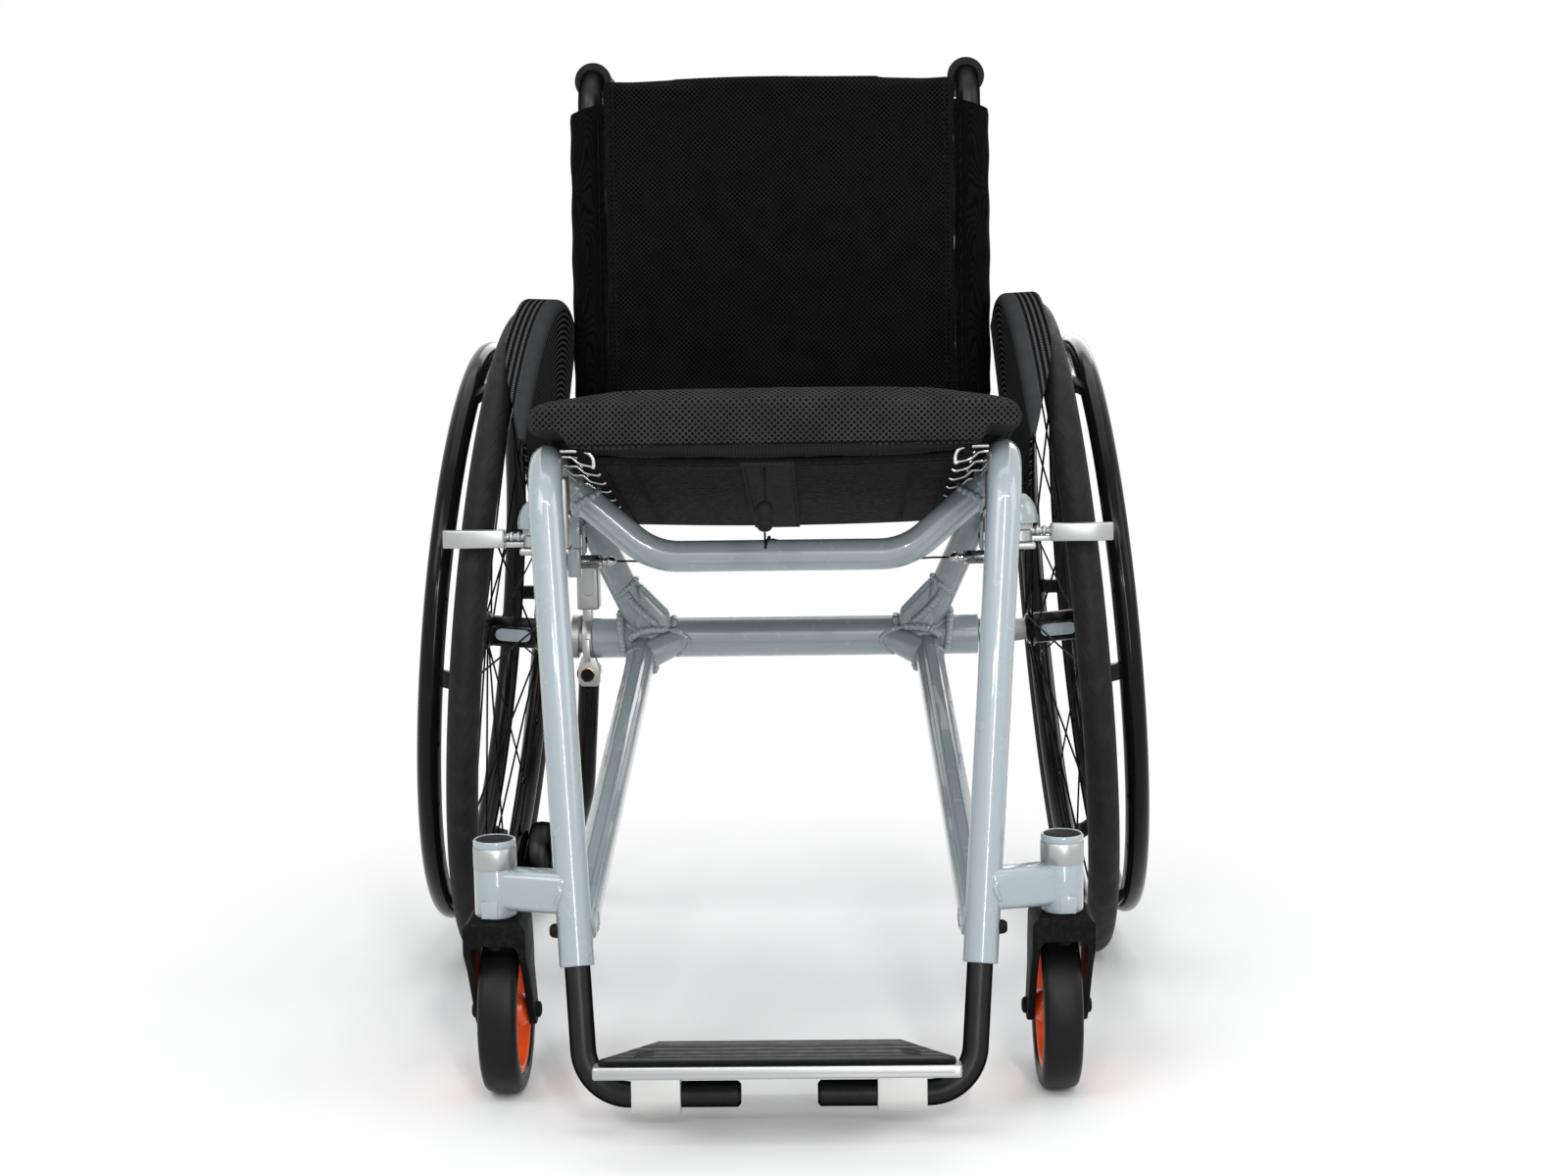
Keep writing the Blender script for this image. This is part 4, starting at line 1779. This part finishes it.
def antitip_clamp():
    x, half, deep, ring_half = TIP_X, 0.0100, 0.011, 0.0044
    px = x + 0.0014
    crown, sole = AXLE_Z + AXLE_TUBE_R, AXLE_Z - AXLE_TUBE_R
    post_low = WHEEL_Z + 0.020 + 0.0009
    ring = both_ways(shifted(ring_half, (0, 0.0158), (0, 0.0184), (-0.0008, 0.019)))
    ring = turned(ring, 72, True, Matrix.Translation((x, 0, AXLE_Z)))
    post = box((px - half, -deep, post_low), (px + half, deep, 0.365), 0.0022, 3)
    slot_r, slot_top = 0.005, 0.375
    slot = [(px + slot_r * math.cos(math.radians(a)),
             post_low + 0.018 + slot_r * math.sin(math.radians(a))) for a in range(180, 361, 15)]
    slot += [(px + slot_r, slot_top), (px - slot_r, slot_top)]
    post = cut(post, solid(slot, 0.006, front_plane(-0.014)))
    pale = solid([(a, min(b, 0.364)) for a, b in slot], 0.0002, front_plane(-0.0079))
    stalk = box((x - ring_half + 0.0003, -0.009, crown - 0.004),
                (x + ring_half - 0.0003, 0.009, post_low + 0.004), 0.0006, 2)
    narrow = half - 0.0035
    shoulders = [(px - narrow, TIP_BOLT_Z - 0.0108), (px + narrow, TIP_BOLT_Z - 0.0108),
                 (px + half, TIP_BOLT_Z - 0.007), (px + half, TIP_BOLT_Z + 0.006),
                 (px + narrow, sole + 0.0035), (px - narrow, sole + 0.0035),
                 (px - half, TIP_BOLT_Z + 0.006), (px - half, TIP_BOLT_Z - 0.007)]
    lug = solid(shoulders, 0.003, front_plane(-0.016), 0.001, 3)
    neck = box((x - ring_half + 0.0003, -0.0187, sole - 0.0009),
               (x + ring_half - 0.0003, ring_half, sole + 0.004), 0.0005, 2)
    bolt = painted(rod((x, -0.019, TIP_BOLT_Z), (x, 0.012, TIP_BOLT_Z), 0.0039, 24), STEEL)
    head = screw((x, -0.019, TIP_BOLT_Z), (0, -1, 0), 0.0061, 0.005, BLACK)
    washer = turned([(0, 0.004), (0, 0.0068), (0.0008, 0.0068), (0.001, 0.0065), (0.001, 0.004)],
                    40, True, Matrix.Translation((x, -0.0189, TIP_BOLT_Z)) @ spin(-90, "Z"))
    bar = box((x - 0.003, -0.0215, sole - 0.0005), (x + 0.003, -0.0165, AXLE_Z + 0.0015), 0.0008, 2)
    silver = painted(merged(ring, post, stalk, lug, neck), SILVER)
    steel = merged(silver, painted(bar, BRIGHT))
    add(merged(steel, painted(pale, BRIGHT), bolt, head, painted(washer, BRASS)),
        "antitip_clamp_block", None, "frame", ["antitip_clamp"])


def antitip_arm():
    x, r, w = TIP_X, 0.0095, TIP_WHEEL_HALF
    stop = TIP_WHEEL + Vector((w + r * 1.1, 0, 0))
    drop = TIP_BOLT_Z - TIP_WHEEL.z
    front = Vector((x - r * 0.2, 0.0, TIP_BOLT_Z - drop * 0.146))
    path = smooth_path([(x, 0.0, TIP_BOLT_Z + 0.002), front,
                        (x - r * 0.5, 0.004, TIP_BOLT_Z - drop * 0.331),
                        (x - r * 1.1, 0.024, TIP_BOLT_Z - drop * 0.574),
                        (x - r * 2.5, 0.064, TIP_BOLT_Z - drop * 0.783),
                        (stop.x + r * 0.84, 0.099, TIP_WHEEL.z + drop * 0.097), stop], 10)
    arm = eased(path, r, (0.0008, 0.0012), 36)
    eye = turned([(0.009, 0.0043), (0.009, 0.0097), (0.0082, 0.0105), (-0.0117, 0.0105),
                  (-0.0125, 0.0097), (-0.0125, 0.0043)], 48, True,
                 Matrix.Translation((x, 0, TIP_BOLT_Z)) @ spin(90, "Z"))
    face = TIP_WHEEL.x - w - GAP
    axle = rod((stop.x + 0.004, TIP_WHEEL.y, TIP_WHEEL.z),
               (face - 0.0016, TIP_WHEEL.y, TIP_WHEEL.z), 0.0038, 24)
    cap = screw((face - 0.0001, TIP_WHEEL.y, TIP_WHEEL.z), (-1, 0, 0), 0.007, 0.0024)
    boss_at = Matrix.Translation((front.x, -r * 0.94, front.z - 0.006))
    lengthways = Matrix(((0, 1, 0, 0), (0, 0, -1, 0), (1, 0, 0, 0), (0, 0, 0, 1)))
    boss = solid(oval(0.005, 0.003, 9), 0.0011, boss_at @ lengthways, 0.0006, 3)
    button = screw((front.x, -r * 0.97, front.z + 0.012), (0, -1, 0), 0.0032, 0.0012)
    add(merged(arm, eye, axle, cap, boss, button), "antitip_tube", GLOSS_BLACK,
        "antitip", ["antitip_arm"])


def antitip_wheel():
    w, outer = TIP_WHEEL_HALF, 0.034
    tyre = [(w, 0.02), (w, outer - 0.007), (w - 0.0006, outer - 0.0048),
            (w - 0.0022, outer - 0.0022), (w - 0.005, outer - 0.0006), (0, outer)]
    disc = shifted(w, (-0.0004, 0.0043), (-0.0004, 0.008), (-0.003, 0.009), (-0.0036, 0.019),
                   (-0.001, 0.02))
    roller = merged(painted(turned(both_ways(tyre), 80, True), SATIN),
                    painted(turned(both_ways(disc), 64, True), BLACK))
    add(moved(roller, Matrix.Translation(TIP_WHEEL)), "antitip_roller_wheel", None,
        "antitip_roller", ["antitip_wheel"])


for make in (sling, cushion, guards, back_tubes, handle_grips, cross_bar, back_sleeves,
             back_panel, back_lock, release, brakes, antitip_clamp, antitip_arm, antitip_wheel):
    make()


# Camera, floor and light

def photo_camera():
    """The photograph's view: place, turn and roll of the camera, in the row frame."""
    yaw, pitch, roll = -0.0188925, 0.1337960, -0.0146307
    ahead = Vector((math.sin(yaw) * math.cos(pitch), math.cos(yaw) * math.cos(pitch),
                    -math.sin(pitch)))
    right = Vector((math.cos(yaw), -math.sin(yaw), 0))
    up = right.cross(ahead)
    across = right * math.cos(roll) + up * math.sin(roll)
    above = up * math.cos(roll) - right * math.sin(roll)
    data = bpy.data.cameras.new("photo_view")
    data.sensor_width = 36
    data.lens = 53.3666
    cam = link("photo_view", data)
    turn = Matrix((across, above, -ahead)).transposed().to_4x4()
    cam.matrix_world = Matrix.Translation((0.0393142, -2.112710 + AXLE_Y, 0.6180666)) @ turn
    bpy.context.scene.camera = cam


def white_for_lens(owner):
    """How far a shader shows plain white: wholly to the camera, to mirrors and through glass."""
    rays = node(owner, "LightPath").node.outputs
    total = rays["Is Camera Ray"]
    for name in ("Is Glossy Ray", "Is Transmission Ray"):
        total = maths(owner, "MAXIMUM", total, rays[name])
    return total


def studio_floor():
    """A pale floor that keeps the shadow near the chair and turns plain white away from it."""
    reach = 6.0
    floor = link("studio_floor", bpy.data.meshes.new("studio_floor"))
    corners = [(-reach, -reach, 0), (reach, -reach, 0), (reach, reach, 0), (-reach, reach, 0)]
    floor.data.from_pydata(corners, [], [(0, 1, 2, 3)])
    mat = shader("studio_floor", (0.95, 0.95, 0.95), 0.75, Specular_IOR_Level=0.1)
    grain = ranged(mat, noise(mat, 3), 0.3, 0.7)
    feed(mat, "Base Color", blend_colour(mat, grain, (0.94, 0.94, 0.94), (0.95, 0.95, 0.95)))
    x, y, _ = parts(mat, place_of(mat))
    away = maths(mat, "SQRT", plus(mat, times(mat, x, x), times(mat, y, y)))
    fade = times(mat, ranged(mat, away, 0.34, 0.74), white_for_lens(mat))
    nodes = mat.node_tree.nodes
    mixed = node(mat, "MixShader", fade, nodes["Principled BSDF"].outputs[0],
                 node(mat, "Emission"))
    mat.node_tree.links.new(mixed, nodes["Material Output"].inputs[0])
    floor.data.materials.append(mat)


def lamp(name, place, aim_z, width, height, power):
    data = bpy.data.lights.new(name, "AREA")
    data.shape = "RECTANGLE"
    data.size = width
    data.size_y = height
    data.energy = power
    obj = link(name, data)
    obj.location = place
    aim = Vector((0, 0, aim_z)) - Vector(place)
    obj.rotation_euler = aim.to_track_quat("-Z", "Y").to_euler()


def studio():
    scene = bpy.context.scene
    scene.view_settings.view_transform = "Standard"
    studio_floor()
    world = bpy.data.worlds.new("studio")
    scene.world = world
    world.use_nodes = True
    tree = world.node_tree
    tree.nodes.clear()
    lit = node(world, "Background", (0.96, 0.98, 1.0, 1), 0.34)
    shown = node(world, "Background", (1, 1, 1, 1), 1.0)
    mixed = node(world, "MixShader", white_for_lens(world), lit, shown)
    tree.links.new(mixed, tree.nodes.new("ShaderNodeOutputWorld").inputs[0])
    lamp("strip", (0.50, -2.5, 1.25), 0.4, 0.09, 2.2, 22)
    lamp("bar", (0.0, -2.2, 2.5), 0.4, 3.2, 0.10, 16)
    for x in (-0.33, 0.28):
        lamp("glint", (x, -2.3, 1.30), 0.4, 0.08, 0.08, 4)
    lamp("key", (-1.5, -1.9, 2.3), 0.4, 1.4, 1.4, 22)
    lamp("fill", (2.2, -0.8, 1.6), 0.4, 1.5, 1.5, 15)
    lamp("top", (0, 0.5, 2.6), 0.3, 2.4, 2.4, 24)
    lamp("back", (0.4, 2.3, 1.5), 0.4, 1.8, 1.4, 18)


photo_camera()
studio()
